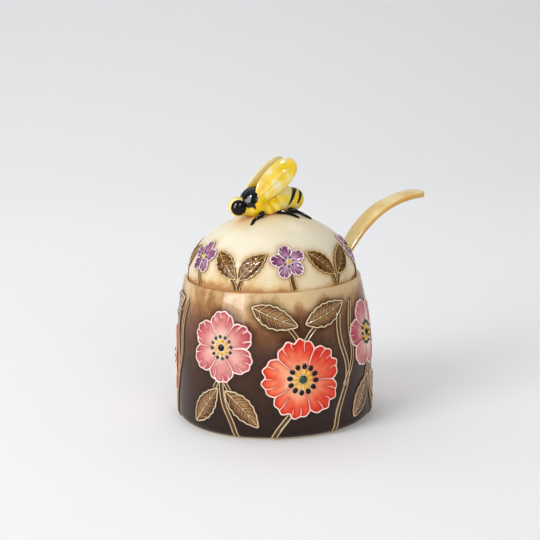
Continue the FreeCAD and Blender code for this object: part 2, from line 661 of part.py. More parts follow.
def make_lid_relief():
    join_in, join_up = dome_point("0")
    join_out, join_over = dome_point("sizes.relief_height")
    zone = relief_zone(
        "lid_relief_zone",
        [
            (LID_RADIUS, "sizes.rim_height"),
            (f"{LID_RADIUS} + sizes.relief_height", "sizes.rim_height"),
            (join_out, join_over),
            ("0", f"{APEX_Z} + sizes.relief_height"),
            ("0", APEX_Z),
            (join_in, join_up),
        ],
        {
            1: ("sizes.shoulder_radius + sizes.relief_height", 1),
            2: (f"{CROWN_RADIUS} + sizes.relief_height", 1),
            4: (CROWN_RADIUS, -1),
            5: ("sizes.shoulder_radius", -1),
        },
    )
    stamps = []
    leaves = []
    leaf = (f"({LID_FIT} * sizes.lid_leaf_length)", f"({LID_FIT} * sizes.lid_leaf_width)")
    for azimuth, turn in LID_MAUVE:
        frame = frame_on(lid_surface(azimuth, "sizes.lid_blossom_slope"), turn)
        stamps += blossom_stamps("lid_blossom", frame, MAUVE_PETALS, f"({LID_FIT} * sizes.mauve_radius)")
        for aside, leaf_turn in LID_LEAF_PAIR:
            if abs(azimuth + aside) > NOTCH_MARGIN:
                frame = frame_on(lid_surface(azimuth + aside, "sizes.lid_leaf_slope"), leaf_turn)
                leaves.append(leaf_stamp("lid_leaf", frame, *leaf))
    return [applied("lid_mauve_blossoms", zone, stamps), applied("lid_leaves", zone, leaves)]


NODES = [make_pot(), make_lid(), make_spoon()] + make_bee() + make_pot_relief() + make_lid_relief()
doc.recompute()

for item in doc.Objects:
    if "Invalid" in item.State or "Error" in item.State:
        raise RuntimeError(f"{item.Label} failed: {item.State}")
for node in NODES:
    if node.Shape.isNull() or not node.Shape.isValid() or not node.Shape.Solids:
        raise RuntimeError(f"{node.Label} has no sound solid")

os.makedirs("parts", exist_ok=True)
for node in NODES:
    node.Label = node.Name
    node.Shape.exportStep(os.path.join("parts", f"{node.Label}.step"))
    box = node.Shape.BoundBox
    print(
        f"{node.Label}: {len(node.Shape.Solids)} solids, {node.Shape.Volume / 1000:.2f} cm3,"
        f" x {box.XMin:.1f}..{box.XMax:.1f}, y {box.YMin:.1f}..{box.YMax:.1f}, z {box.ZMin:.1f}..{box.ZMax:.1f}"
    )
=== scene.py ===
# %% [markdown]
# # A honey pot of glazed earthenware
#
# The solids of the pot, its lid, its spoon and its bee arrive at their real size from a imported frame.
# This lesson dresses them: each piece gets a finer mesh in the same place, and a glaze made of nodes.
# All lengths below are millimetres, and MM turns them into Blender's metres.

import itertools
import json
import math

import bmesh
import bpy
import numpy as np
from mathutils import Matrix, Vector
from mathutils.kdtree import KDTree


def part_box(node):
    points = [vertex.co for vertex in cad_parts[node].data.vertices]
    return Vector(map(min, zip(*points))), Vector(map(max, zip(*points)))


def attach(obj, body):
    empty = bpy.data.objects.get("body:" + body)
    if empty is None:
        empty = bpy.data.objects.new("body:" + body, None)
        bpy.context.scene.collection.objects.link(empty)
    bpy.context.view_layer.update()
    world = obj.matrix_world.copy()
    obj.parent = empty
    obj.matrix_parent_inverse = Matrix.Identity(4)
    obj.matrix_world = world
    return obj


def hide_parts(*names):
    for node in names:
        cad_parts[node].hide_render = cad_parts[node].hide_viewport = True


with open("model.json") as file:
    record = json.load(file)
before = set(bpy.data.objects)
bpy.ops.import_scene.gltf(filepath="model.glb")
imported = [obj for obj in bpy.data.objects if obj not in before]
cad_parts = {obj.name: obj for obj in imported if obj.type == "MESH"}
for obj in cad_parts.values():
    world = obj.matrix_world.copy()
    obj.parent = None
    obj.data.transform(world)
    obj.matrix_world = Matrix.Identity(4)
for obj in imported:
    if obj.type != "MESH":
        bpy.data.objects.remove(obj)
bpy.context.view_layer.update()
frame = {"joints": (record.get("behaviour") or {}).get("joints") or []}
MM = 0.001
FULL_TURN = 2 * math.pi

# %% [markdown]
# ## The camera
#
# A product photograph is taken from far away with a long lens, so that the pot isn't distorted. The
# camera stands 70 cm off and 13 degrees above level. It looks at the pot's axis from the side where
# the spoon leaves to the right. The pot sits a little below the middle of the picture, so the
# camera is pitched up by that many pixels, and it is rolled slightly, as a hand-held one is.

# %% Camera
PICTURE = 540.0
FOCAL_PIXELS = 1491.2
TARGET = Vector((0.0, 0.0, 55.0)) * MM
TARGET_PIXEL = (272.6, 298.5)
STAND_OFF = 700.0 * MM
ELEVATION = math.radians(13.0)
AZIMUTH = math.radians(-30.0)
ROLL = math.radians(1.3)


def put(name, data):
    """New object in the scene."""
    thing = bpy.data.objects.new(name, data)
    bpy.context.scene.collection.objects.link(thing)
    return thing


to_camera = Vector((math.sin(AZIMUTH) * math.cos(ELEVATION), -math.cos(AZIMUTH) * math.cos(ELEVATION),
                    math.sin(ELEVATION)))
picture_right = Vector((math.cos(AZIMUTH), math.sin(AZIMUTH), 0.0))
yaw, pitch = (math.atan((pixel - PICTURE / 2) / FOCAL_PIXELS) for pixel in TARGET_PIXEL)
looking = (-to_camera).to_track_quat("-Z", "Y").to_matrix().to_4x4()
tilt = Matrix.Rotation(-ROLL, 4, "Z") @ Matrix.Rotation(pitch, 4, "X") @ Matrix.Rotation(yaw, 4, "Y")

lens = bpy.data.cameras.new("photo_camera")
lens.sensor_width = 36.0
lens.lens = FOCAL_PIXELS / PICTURE * lens.sensor_width
camera = put("photo_camera", lens)
camera.matrix_world = Matrix.Translation(TARGET + to_camera * STAND_OFF) @ looking @ tilt
bpy.context.scene.camera = camera
print(f"lens {lens.lens:.1f} mm, pitched up by {math.degrees(pitch):.2f} degrees")

# %% [markdown]
# ## Nodes and colours
#
# Every finish here is a small tree of shader nodes. Writing `nodes.new` and `links.new` each time hides
# the idea, so one function adds a node, sets its properties, links or fills its sockets and hands back an
# output for the next node. Colours are written as the hex values that a paint program shows. Blender
# works in linear light, so a second function converts them.

# %% Node helper
def paint(code):
    """Linear colour, with alpha, of an sRGB hex value."""
    shares = [int(code[place:place + 2], 16) / 255 for place in (1, 3, 5)]
    linear = [s / 12.92 if s <= 0.04045 else ((s + 0.055) / 1.055) ** 2.4 for s in shares]
    return (*linear, 1.0)


def add(tree, kind, inputs=None, stops=None, out=0, **settings):
    """Adds a shader node and returns an output: sockets get a value or a link, a ramp gets its stops."""
    node = tree.nodes.new(f"ShaderNode{kind}")
    for key, value in settings.items():
        setattr(node, key, value)
    for socket, value in (inputs or {}).items():
        if isinstance(value, bpy.types.NodeSocket):
            tree.links.new(value, node.inputs[socket])
        else:
            node.inputs[socket].default_value = value
    if stops:
        ramp = node.color_ramp.elements
        ramp[0].position, ramp[1].position = stops[0][0], stops[-1][0]
        for place, _ in stops[1:-1]:
            ramp.new(place)
        for element, (_, code) in zip(ramp, stops):
            element.color = paint(code)
    return node.outputs[out]


print("ivory in linear light:", [round(c, 3) for c in paint("#F3E7CC")[:3]])

# %% [markdown]
# ## Studio
#
# The pot stands on a pale paper sweep: a floor that curves up into a backdrop, so that no horizon shows.
# A tall softbox on the left is the main light, one above and one in front fill the shadows, and one
# behind the pot lights the paper there. Gloss needs something bright to show, so three more lamps are
# seen in reflections alone: a window on the left and two small glints. They light nothing, because they
# are hidden from diffuse rays. The world adds an even grey.

# %% Sweep and light
SWEEP_DEPTH, SWEEP_HEIGHT, SWEEP_WIDTH, SWEEP_NEAR = 690.0, 2600.0, 9000.0, 5000.0
SWEEP_BEND, BEND_STEPS = 1300.0, 24
POT_MIDDLE = (0, 0, 55)
SOFTBOXES = [
    ("key_softbox", (-900, 800, 620), POT_MIDDLE, (760, 1100), 10.6),
    ("top_softbox", (-300, -100, 1500), POT_MIDDLE, (1000, 1000), 1.8),
    ("front_softbox", (500, 1300, 800), POT_MIDDLE, (700, 700), 4.2),
    ("backdrop_light", (-400, -600, 900), (-400, -700, 0), (1600, 400), 2.8),
    ("window_glint", (-900, 790, 620), POT_MIDDLE, (640, 900), 13.0),
    ("left_glint", (-700, 700, 1250), POT_MIDDLE, (130, 200), 21.0),
    ("right_glint", (500, 700, 1000), POT_MIDDLE, (90, 140), 11.0),
]
WORLD_STRENGTH = 0.44


def studio_place(right, forward, up):
    """Point seen from the camera: to the right, towards the camera and up from the pot's base."""
    level = Vector((to_camera.x, to_camera.y, 0.0)).normalized()
    return (picture_right * right + level * forward + Vector((0, 0, up))) * MM


def matt_paper(name):
    """Uncoated paper, off-white: it scatters light evenly and has next to no gloss."""
    material = bpy.data.materials.new(name)
    material.use_nodes = True
    sockets = material.node_tree.nodes["Principled BSDF"].inputs
    sockets["Base Color"].default_value = paint("#FBFBFC")
    sockets["Roughness"].default_value = 0.9
    sockets["Specular IOR Level"].default_value = 0.1
    return material


profile = [(SWEEP_NEAR, 0.0)]
for step in range(BEND_STEPS + 1):
    angle = math.pi / 2 * step / BEND_STEPS
    profile.append((-SWEEP_DEPTH - SWEEP_BEND * math.sin(angle), SWEEP_BEND * (1 - math.cos(angle))))
profile.append((-SWEEP_DEPTH - SWEEP_BEND, SWEEP_HEIGHT))
half_sweep = SWEEP_WIDTH / 2
sweep_points = [studio_place(side, *point) for point in profile for side in (-half_sweep, half_sweep)]
sweep_faces = [(2 * row, 2 * row + 1, 2 * row + 3, 2 * row + 2) for row in range(len(profile) - 1)]
sweep_mesh = bpy.data.meshes.new("paper_sweep")
sweep_mesh.from_pydata(sweep_points, [], sweep_faces)
sweep_mesh.polygons.foreach_set("use_smooth", [True] * len(sweep_faces))
sweep_mesh.materials.append(matt_paper("matt_paper"))
put("paper_sweep", sweep_mesh)

for name, place, aim, (wide, high), power in SOFTBOXES:
    lamp = bpy.data.lights.new(name, "AREA")
    lamp.shape = "RECTANGLE"
    lamp.size, lamp.size_y = wide * MM, high * MM
    lamp.energy = power
    box = put(name, lamp)
    box.location = studio_place(*place)
    box.rotation_euler = (studio_place(*aim) - box.location).to_track_quat("-Z", "Y").to_euler()
    box.visible_diffuse = not name.endswith("glint")

world = bpy.data.worlds.new("studio_air")
world.use_nodes = True
world.node_tree.nodes["Background"].inputs["Color"].default_value = paint("#F2F3F5")
world.node_tree.nodes["Background"].inputs["Strength"].default_value = WORLD_STRENGTH
bpy.context.scene.world = world
bpy.context.scene.view_settings.view_transform = "Standard"
print("lamps:", [name for name, *_ in SOFTBOXES])

# %% [markdown]
# ## Glazes
#
# Glaze is a thin clear glass over coloured clay. The eye sees a soft colour below and a sharp reflection
# above, so each glaze is a Principled shader whose gloss is all in its coat. Fired glaze is never
# optically flat: a faint bump a few millimetres wide makes the reflections swim. The painted relief
# keeps masks on its points: `trail` is the raised slip line, `pool` is where glaze has run against a line
# and lies thicker and darker, and `inward` runs from a motif's edge to its middle. On a line's crest the
# glaze has run off, so the crest is pale. Its near-white crest colour is also a painted highlight along
# each line.

# %% A clear coat of glaze
GLAZE_IOR, GLAZE_ROUGH, CLAY_ROUGH = 1.5, 0.035, 0.35
GLAZE_COAT, RELIEF_COAT = 0.65, 0.75
GLAZE_WAVE, GLAZE_WAVE_DEPTH = 3.0, 0.035


def new_glaze(name, coat=GLAZE_COAT):
    """Material with a clear coat and a faint wave in it. Returns it with its tree and place output."""
    material = bpy.data.materials.new(name)
    material.use_nodes = True
    tree = material.node_tree
    sockets = tree.nodes["Principled BSDF"].inputs
    for socket, value in (("Roughness", CLAY_ROUGH), ("Specular IOR Level", 0.0), ("Coat Weight", coat),
                          ("Coat Roughness", GLAZE_ROUGH), ("Coat IOR", GLAZE_IOR)):
        sockets[socket].default_value = value
    place = add(tree, "TexCoord", out="Object")
    wave = add(tree, "TexNoise", {"Vector": place, "Scale": 1 / (GLAZE_WAVE * MM), "Detail": 1.0})
    bump = add(tree, "Bump", {"Height": wave, "Strength": 0.5, "Distance": GLAZE_WAVE_DEPTH * MM})
    for socket in ("Normal", "Coat Normal"):
        tree.links.new(bump, sockets[socket])
    return material, tree, place


def coloured(material, colour):
    """Gives a glaze the colour that its nodes worked out."""
    tree = material.node_tree
    tree.links.new(colour, tree.nodes["Principled BSDF"].inputs["Base Color"])
    return material


def painted_over(tree, colour, layers):
    """Lays paints over a colour, each as thick as a mask on the points times a strength."""
    for mask, strength, code in layers:
        cover = add(tree, "Attribute", out="Fac", attribute_name=mask)
        thick = add(tree, "Math", {0: cover, 1: strength}, operation="MULTIPLY")
        colour = add(tree, "MixRGB", {"Fac": thick, "Color1": colour, "Color2": paint(code)})
    return colour


def painted_glaze(name, stops, line_colours, patch, pooled=0.55, coat=RELIEF_COAT):
    """Translucent colour pooled between raised lines: stops run from a motif's edge inwards."""
    material, tree, place = new_glaze(name, coat)
    pool_colour, trail_colour, bare_crest_and_highlight_colour = line_colours
    inward, trail = (add(tree, "Attribute", out="Fac", attribute_name=mask) for mask in ("inward", "trail"))
    cloud = add(tree, "TexNoise", {"Vector": place, "Scale": 1 / (patch * MM), "Detail": 3.0})
    drift = add(tree, "Math", {0: cloud, 1: 0.5}, operation="SUBTRACT")
    wander = add(tree, "Math", {0: drift, 1: 1.1, 2: inward}, operation="MULTIPLY_ADD")
    wash = add(tree, "ValToRGB", {"Fac": wander}, stops=stops)
    run = painted_over(tree, wash, [("pool", pooled, pool_colour)])
    # Painted highlight: the crest colour on top of the bead is pale clay where glaze ran off, and it also
    # stands in for a highlight along the line.
    line = add(tree, "ValToRGB", {"Fac": trail}, stops=[
        (0.45, pool_colour), (0.7, trail_colour), (0.86, trail_colour), (0.97, bare_crest_and_highlight_colour)])
    over = add(tree, "MapRange", {"Value": trail, "From Min": 0.1, "From Max": 0.5})
    return coloured(material, add(tree, "MixRGB", {"Fac": over, "Color1": run, "Color2": line}))


# Each row: washes from edge to middle, then the pooled, trailed and crest colours of its lines, the size of
# its brush patches and, for some, how strongly it pools and how much coat it has. The near-white crest
# colour is pale clay where glaze ran off and also a painted highlight along the line. Reds and mauves are
# thin in the middle, where the cream clay glows through, and the browns are honey-like: almost black where
# they are deep, tan where they are thin.
PAINTS = [
    ("coral", "coral_red_glaze",
     [(0.0, "#DA220B"), (0.2, "#EA3F1E"), (0.4, "#F16844"), (0.62, "#F79770"), (1.0, "#F9CBA4")],
     ("#B5180A", "#F2AE96", "#FFF1E6"), 9.0),
    ("pink", "rose_pink_glaze",
     [(0.0, "#AE3B4A"), (0.25, "#CC6669"), (0.55, "#DF9890"), (0.85, "#EBC2AE"), (1.0, "#EFD2BA")],
     ("#97303F", "#E6B3A8", "#FDEEE4"), 9.0),
    ("mauve", "mauve_glaze",
     [(0.0, "#6A2450"), (0.3, "#8C4A76"), (0.6, "#B27FA0"), (0.9, "#D9BCCB"), (1.0, "#E6D0D4")],
     ("#4C1638", "#D9BCC4", "#F6E9E4"), 6.0),
    ("leaf", "tan_leaf_glaze",
     [(0.0, "#45280F"), (0.3, "#7A4E2A"), (0.65, "#A87648"), (1.0, "#C0935C")],
     ("#2A1508", "#A8804F", "#EBD7AE"), 8.0, 0.85),
    ("lid_leaf", "brown_leaf_glaze",
     [(0.0, "#46240A"), (0.35, "#693E16"), (0.7, "#8A5C2A"), (1.0, "#A4783F")],
     ("#2A1404", "#94692F", "#D8B87C"), 6.0, 0.8, 0.4),
    ("stem", "brown_stem_glaze", [(0.0, "#4E3018"), (1.0, "#6E4A2A")],
     ("#2A1608", "#A17A4C", "#E3CB9F"), 6.0),
]
RELIEF_GLAZES = {kind: painted_glaze(name, *looks) for kind, name, *looks in PAINTS}
print("painted glazes:", [material.name for material in RELIEF_GLAZES.values()])

# %% [markdown]
# ## Turning meshes into pieces
#
# A piece is a mesh that rides on one moving body, so that it follows the pot, the lid or the spoon. Where it
# stands for a solid, that solid is hidden. The next functions build skins from rows of points and make
# pieces of the result. Points that fall together, as at a pole, are welded.

# %% Piece helpers
WELD = 0.002


def grid(rows, columns):
    """Four-sided faces between rows of points whose columns close into a ring."""
    faces = []
    for row in range(rows - 1):
        for column in range(columns):
            beside = (column + 1) % columns
            faces.append((row * columns + column, row * columns + beside,
                          (row + 1) * columns + beside, (row + 1) * columns + column))
    return faces


def skin(rings):
    """Points and faces of a skin over a row of closed rings, with a lid on each end."""
    rings = np.asarray(rings, float)
    rows, columns = rings.shape[:2]
    faces = grid(rows, columns)
    faces.append(tuple(range(columns))[::-1])
    faces.append(tuple(range((rows - 1) * columns, rows * columns)))
    return rings.reshape(-1, 3), faces


def gather(parts):
    """Joins several (points, faces, marks) into one."""
    points, faces, marks = [], [], {}
    count = 0
    for part_points, part_faces, part_marks in parts:
        points.append(part_points)
        faces += [tuple(corner + count for corner in face) for face in part_faces]
        for label, values in part_marks.items():
            marks.setdefault(label, []).append(values)
        count += len(part_points)
    return np.concatenate(points), faces, {label: np.concatenate(values) for label, values in marks.items()}


def welded(name, points, faces, marks):
    """Mesh in metres with its masks as point attributes, welded, its faces turned outwards."""
    mesh = bpy.data.meshes.new(name)
    mesh.from_pydata((np.asarray(points) * MM).tolist(), [], faces)
    for label, values in marks.items():
        mesh.attributes.new(label, "FLOAT", "POINT").data.foreach_set("value", np.asarray(values, np.float32))
    shape = bmesh.new()
    shape.from_mesh(mesh)
    bmesh.ops.remove_doubles(shape, verts=shape.verts, dist=WELD * MM)
    bmesh.ops.recalc_face_normals(shape, faces=shape.faces)
    shape.to_mesh(mesh)
    shape.free()
    return mesh


def make_piece(name, part, material, body, slot, node=None):
    """Smooth piece that rides on a body and may stand for a solid."""
    mesh = welded(name, *part)
    mesh.polygons.foreach_set("use_smooth", [True] * len(mesh.polygons))
    mesh.materials.append(material)
    piece = put(name, mesh)
    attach(piece, body)
    if node:
        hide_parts(node)
    print(f"{name}: {len(mesh.vertices)} points, {len(mesh.polygons)} faces")


def resample(line, spacing):
    """Points at an even spacing along a line."""
    line = np.asarray(line, float)
    along = np.concatenate([[0.0], np.cumsum(np.linalg.norm(np.diff(line, axis=0), axis=1))])
    marks = np.linspace(0, along[-1], max(int(round(along[-1] / spacing)), 1) + 1)
    return np.column_stack([np.interp(marks, along, axis) for axis in line.T])


def soften(line, rounds=4):
    """Rounds a line of a few points by cutting its corners again and again."""
    line = np.asarray(line, float)
    for _ in range(rounds):
        near, far = line[:-1] * 0.75 + line[1:] * 0.25, line[:-1] * 0.25 + line[1:] * 0.75
        middle = np.stack([near, far], axis=1).reshape(-1, line.shape[1])
        line = np.vstack([line[:1], middle, line[-1:]])
    return line


def arc(centre, radius, start, end, steps):
    """Points of an arc, in degrees, as (radius, height) pairs."""
    angle = np.radians(np.linspace(start, end, steps))
    return np.column_stack([centre[0] + radius * np.cos(angle), centre[1] + radius * np.sin(angle)])


print("a softened corner has", len(soften([(0, 0), (1, 0), (1, 1)])), "points")

# %% [markdown]
# ## The pot's wall and the lid's dome
#
# Everything applied to the pot hugs its wall, so the wall is written as a formula first: a straight
# lower belly that leans in along one arc to the lip. The dome of the lid is two arcs. `on_pot` and
# `on_lid` return functions that wrap a flat drawing, in millimetres, round these walls.

# %% Walls as formulas
BELLY_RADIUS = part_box("pot_body")[1].x / MM
RIM_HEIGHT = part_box("pot_body")[1].z / MM
APEX_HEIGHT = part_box("lid_dome")[1].z / MM
LEDGE_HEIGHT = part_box("lid_dome")[0].z / MM
RIM_RADIUS, LIP_THICKNESS, LIP_ROUND = 41.3, 2.1, 0.9
BELLY_TOP, BASE_CORNER = 22.0, 5.0
LID_CLEARANCE, SHOULDER_RADIUS = 0.3, 24.0

LEAN_IN = BELLY_RADIUS - RIM_RADIUS
TAPER_RISE = RIM_HEIGHT - LIP_ROUND - BELLY_TOP
TAPER_RADIUS = (TAPER_RISE**2 + LEAN_IN**2) / (2 * LEAN_IN)
LID_RADIUS = RIM_RADIUS - LIP_THICKNESS - LID_CLEARANCE
DOME_HEIGHT = APEX_HEIGHT - RIM_HEIGHT
SHOULDER_X = LID_RADIUS - SHOULDER_RADIUS
CROWN_RADIUS = (SHOULDER_X**2 + DOME_HEIGHT**2 - SHOULDER_RADIUS**2) / (2 * (DOME_HEIGHT - SHOULDER_RADIUS))
CROWN_HEIGHT = APEX_HEIGHT - CROWN_RADIUS
JOIN_TILT = math.asin((RIM_HEIGHT - CROWN_HEIGHT) / (CROWN_RADIUS - SHOULDER_RADIUS))


def pot_wall(height):
    """Radius of the pot's outside at a height, and the tilt of its normal above level."""
    height = np.asarray(height, float)
    lean = np.arcsin(np.clip(height - BELLY_TOP, 0, TAPER_RISE) / TAPER_RADIUS)
    tuck = np.arcsin(np.clip(BASE_CORNER - height, 0, BASE_CORNER) / BASE_CORNER)
    radius = BELLY_RADIUS - TAPER_RADIUS * (1 - np.cos(lean)) - BASE_CORNER * (1 - np.cos(tuck))
    return radius, lean - tuck


def dome_wall(rise):
    """Radius, height and normal's tilt of the lid at a length up its slope from the lip's level."""
    rise = np.asarray(rise, float)
    shoulder = SHOULDER_RADIUS * JOIN_TILT
    above = np.clip(rise, 0, None)
    lean = np.where(above < shoulder, above / SHOULDER_RADIUS, JOIN_TILT + (above - shoulder) / CROWN_RADIUS)
    crown = lean > JOIN_TILT
    radius = np.where(crown, CROWN_RADIUS * np.cos(lean), SHOULDER_X + SHOULDER_RADIUS * np.cos(lean))
    height = np.where(crown, CROWN_HEIGHT + CROWN_RADIUS * np.sin(lean),
                      RIM_HEIGHT + SHOULDER_RADIUS * np.sin(lean))
    return radius, height + np.clip(rise, None, 0), lean


def crown_level(x, y):
    """Height of the lid's crown above a place."""
    return CROWN_HEIGHT + np.sqrt(np.clip(CROWN_RADIUS**2 - x**2 - y**2, 1, None))


def stand_out(angle, radius, height, lean, lift):
    """Points lifted off a turned wall along its normal."""
    reach = radius + lift * np.cos(lean)
    return np.stack([reach * np.cos(angle), reach * np.sin(angle), height + lift * np.sin(lean)], axis=-1)


def turned(across, up, turn):
    """A flat drawing's point turned by an angle in degrees."""
    angle = math.radians(turn)
    return (across * math.cos(angle) - up * math.sin(angle), across * math.sin(angle) + up * math.cos(angle))


def on_pot(azimuth, height, turn=0.0):
    """Function that wraps a flat drawing onto the pot about a place, given across, up and out."""
    girth = pot_wall(height)[0]

    def wrap(across, up, lift):
        aside, over = turned(across, up, turn)
        radius, lean = pot_wall(height + over)
        return stand_out(math.radians(azimuth) + aside / girth, radius, height + over, lean, lift)

    return wrap


def on_lid(azimuth, rise, turn=0.0):
    """The same for the lid, about a length up the dome's slope."""

    def wrap(across, up, lift):
        aside, over = turned(across, up, turn)
        radius, height, lean = dome_wall(rise + over)
        return stand_out(math.radians(azimuth) + aside / radius, radius, height, lean, lift)

    return wrap


print(f"wall radius at mid height {float(pot_wall(RIM_HEIGHT / 2)[0]):.1f}, dome crown {CROWN_RADIUS:.1f} mm")

# %% [markdown]
# ## Drawing with slip
#
# The raised lines on such a pot are trailed: liquid clay is squeezed through a fine nozzle and stands up
# like icing. A motif is made as one patch. Its rows run from a spine in the middle to just past the
# outline, and each point is lifted by its distance to the nearest trail. The patch has a back inside the
# wall, so it is a closed solid.

# %% Trails and patches
TRAIL_STEP = 0.12
OUTLINE_HALF, OUTLINE_HIGH = 0.46, 0.7
SUNK, EDGE_SUNK = -0.55, -0.12
MENISCUS, MENISCUS_REACH, POOL_REACH = 0.14, 0.5, 0.6
BACK_SHARES = [0.0, 0.33, 0.66, 1.0]
CROWDED = 0.8


def trail(line, halves, heights):
    """Trailed line: points with a half width and a height that change from end to end."""
    line = resample(line, TRAIL_STEP)
    share = np.linspace(0, 1, len(line))
    return np.column_stack([line, np.interp(share, (0, 1), halves), np.interp(share, (0, 1), heights)])


def nearest(places, lines):
    """Number of the nearest point of the lines for each place, flat or in space, and the distance to it."""
    places, lines = (np.pad(spots, ((0, 0), (0, 3 - spots.shape[1]))) for spots in (places, lines))
    tree = KDTree(len(lines))
    for number, spot in enumerate(lines):
        tree.insert(spot, number)
    tree.balance()
    numbers, distances = zip(*(tree.find(place)[1:] for place in places))
    return np.array(numbers), np.array(distances)


def bead(distance, half):
    """Round section of a trail: one on its line, nothing at its edge."""
    return np.sqrt(np.clip(1 - (distance / half) ** 2, 0, 1))


def fade(distance, reach):
    """One up to a distance of nothing, then falling away over a reach."""
    return np.exp(-np.clip(distance, 0, None) / reach)


def rising(value, width):
    """Nothing below nought, one above a width, and a straight rise between."""
    return np.clip(value / width, 0, 1)


def patch(outline, spine, trails, fill, shade, wrap, rows, line=OUTLINE_HALF):
    """Closed solid of one motif: a skin from spine to outline, lifted by its trails."""
    step = np.roll(outline, -1, axis=0) - np.roll(outline, 1, axis=0)
    outwards = np.column_stack([step[:, 1], -step[:, 0]]) / np.linalg.norm(step, axis=1)[:, None]
    edge = outline + outwards * line
    inner = np.linspace(0, CROWDED, rows // 2, endpoint=False)
    front = np.concatenate([inner, np.linspace(CROWDED, 1.0, rows - rows // 2)])
    share = np.concatenate([BACK_SHARES, front[::-1]])[:, None]
    back = np.arange(len(share))[:, None] < len(BACK_SHARES)
    flat = spine + share[..., None] * (edge - spine)
    rim = trail(np.vstack([outline, outline[:1]]), (line, line), (OUTLINE_HIGH, OUTLINE_HIGH))
    lines = np.vstack([rim] + trails)
    number, distance = (found.reshape(flat.shape[:2]) for found in nearest(flat.reshape(-1, 2), lines[:, :2]))
    half, high = lines[number, 2], lines[number, 3]
    to_edge = np.linalg.norm(outline - spine, axis=1) / np.linalg.norm(edge - spine, axis=1)
    depth = 1 - np.clip(share / to_edge, 0, 1)
    across, up = flat[..., 0], flat[..., 1]
    filled = fill(across, up, depth) + MENISCUS * fade(distance - half, MENISCUS_REACH)
    ground = np.where(share < to_edge, filled, EDGE_SUNK)
    raised = bead(distance, half)
    lift = np.where(back, SUNK, ground + np.clip(high - ground, 0, None) * raised)
    marks = {
        "trail": raised.ravel(),
        "pool": fade(distance - half * 0.9, POOL_REACH).ravel(),
        "inward": (depth + shade(across, up)).ravel(),
    }
    return wrap(across, up, lift).reshape(-1, 3), grid(*flat.shape[:2]), marks


print("an outline stands", OUTLINE_HIGH, "mm proud")

# %% [markdown]
# ## Blossoms
#
# Each blossom is a ring of broad petals that differ a little, as drawn by hand. Between two petals a
# trail runs in from the cusp, and short strokes run in from each petal's edge. One side of a petal
# lies higher than the other, so that the petals seem to overlap. The three kinds differ in the
# number of petals, in how deep the cusps are and in the notch at a petal's tip.

# %% Blossom shapes
BLOSSOM_POINTS = 420
LID_LINE = 0.33
PETAL_LOW, PETAL_OVERLAP, HEART_HIGH = 0.12, 0.26, 0.3
CUSP_RAY = [(1.0, 0.0), (0.75, 0.03), (0.46, -0.02)]
PETAL_STROKES = [(-0.24, 0.24, 0.36), (0.05, 0.16, 0.24), (0.27, 0.24, 0.36)]
KINDS = {
    "coral": dict(petals=5, waist=0.76, swell=0.5, notch=0.06, ripple=0.028, heart=0.30, rows=40),
    "pink": dict(petals=6, waist=0.72, swell=0.6, notch=0, ripple=0.018, heart=0.30, rows=38),
    "mauve": dict(petals=5, waist=0.58, swell=0.8, notch=0, ripple=0, heart=0.26, rows=28, line=LID_LINE),
}


def blossom(kind, radius, wrap, seed):
    """One blossom's patch and outline."""
    look = KINDS[kind]
    draw = np.random.default_rng(seed)
    petals = look["petals"]
    pitch_angle = FULL_TURN / petals
    angle = np.linspace(0, FULL_TURN, BLOSSOM_POINTS, endpoint=False)
    number = np.floor((angle + pitch_angle / 2) / pitch_angle).astype(int) % petals
    off = (angle + pitch_angle / 2) % pitch_angle - pitch_angle / 2
    belly = np.abs(np.cos(off * petals / 2)) ** look["swell"]
    stretch = draw.uniform(0.9, 1.0, petals)[number]
    depths = draw.uniform(-0.08, 0.22, petals)
    ripple = look["ripple"] * np.sin(angle * petals * 4 + draw.uniform(0, 6)) * belly
    dip = look["notch"] * np.exp(-((off / (pitch_angle * 0.09)) ** 2))
    reach = radius * (look["waist"] + (1 - look["waist"]) * belly * stretch + ripple - dip)
    outline = np.column_stack([-reach * np.sin(angle), reach * np.cos(angle)])

    def ray(at, *shares):
        """Line along a ray at an angle, through shares of the outline's reach, each bent a little."""
        out = np.interp(at % FULL_TURN, angle, reach)
        return [(-share * out * math.sin(at + bend), share * out * math.cos(at + bend))
                for share, bend in shares]

    trails = []
    for petal in range(petals):
        cusp = ray((petal + 0.5) * pitch_angle, *CUSP_RAY)
        trails.append(trail(soften(cusp), (0.4, 0.2), (0.6, 0.25)))
        for aside, shortest, longest in PETAL_STROKES:
            start = (petal + aside + draw.uniform(-0.03, 0.03)) * pitch_angle
            length = draw.uniform(shortest, longest)
            stroke = ray(start, (0.99, 0.0), (1 - length / 2, 0.02), (1 - length, -0.01))
            trails.append(trail(soften(stroke, 2), (0.34, 0.18), (0.5, 0.2)))

    def fill(across, up, depth):
        """Height of the petals: low at one side, high at the other, and raised at the heart."""
        around = (np.arctan2(-across, up) + pitch_angle / 2) % pitch_angle / pitch_angle
        heart = np.exp(-((1 - depth) / look["heart"]) ** 2)
        return PETAL_LOW + PETAL_OVERLAP * around * np.clip((1 - depth) * 2, 0, 1) + HEART_HIGH * heart

    def shade(across, up):
        """Each petal's own depth of colour."""
        turn_share = (np.arctan2(-across, up) + pitch_angle / 2) % FULL_TURN / pitch_angle
        return depths[np.floor(turn_share).astype(int) % petals]

    line = look.get("line", OUTLINE_HALF)
    return patch(outline, np.zeros_like(outline), trails, fill, shade, wrap, look["rows"], line), outline


print("kinds of blossom:", {kind: look["petals"] for kind, look in KINDS.items()})

# %% [markdown]
# ## Leaves
#
# A leaf is a pointed oval with a midrib and side veins. Its spine is the midrib itself, so the rows of the
# patch follow the blade. Between the rim and the midrib the blade swells a little, as a real leaf does.

# %% Leaf shape
LEAF_POINTS = 220
VEIN_PAIRS, FIRST_VEIN, VEIN_PITCH, VEIN_REACH = 4, 0.16, 0.17, 0.86
BLADE_LOW, BLADE_SWELL = 0.14, 0.22
SPINE_SHARE = 0.4
SUNNY_HALF, SHADY_HALF = 0.12, -0.06


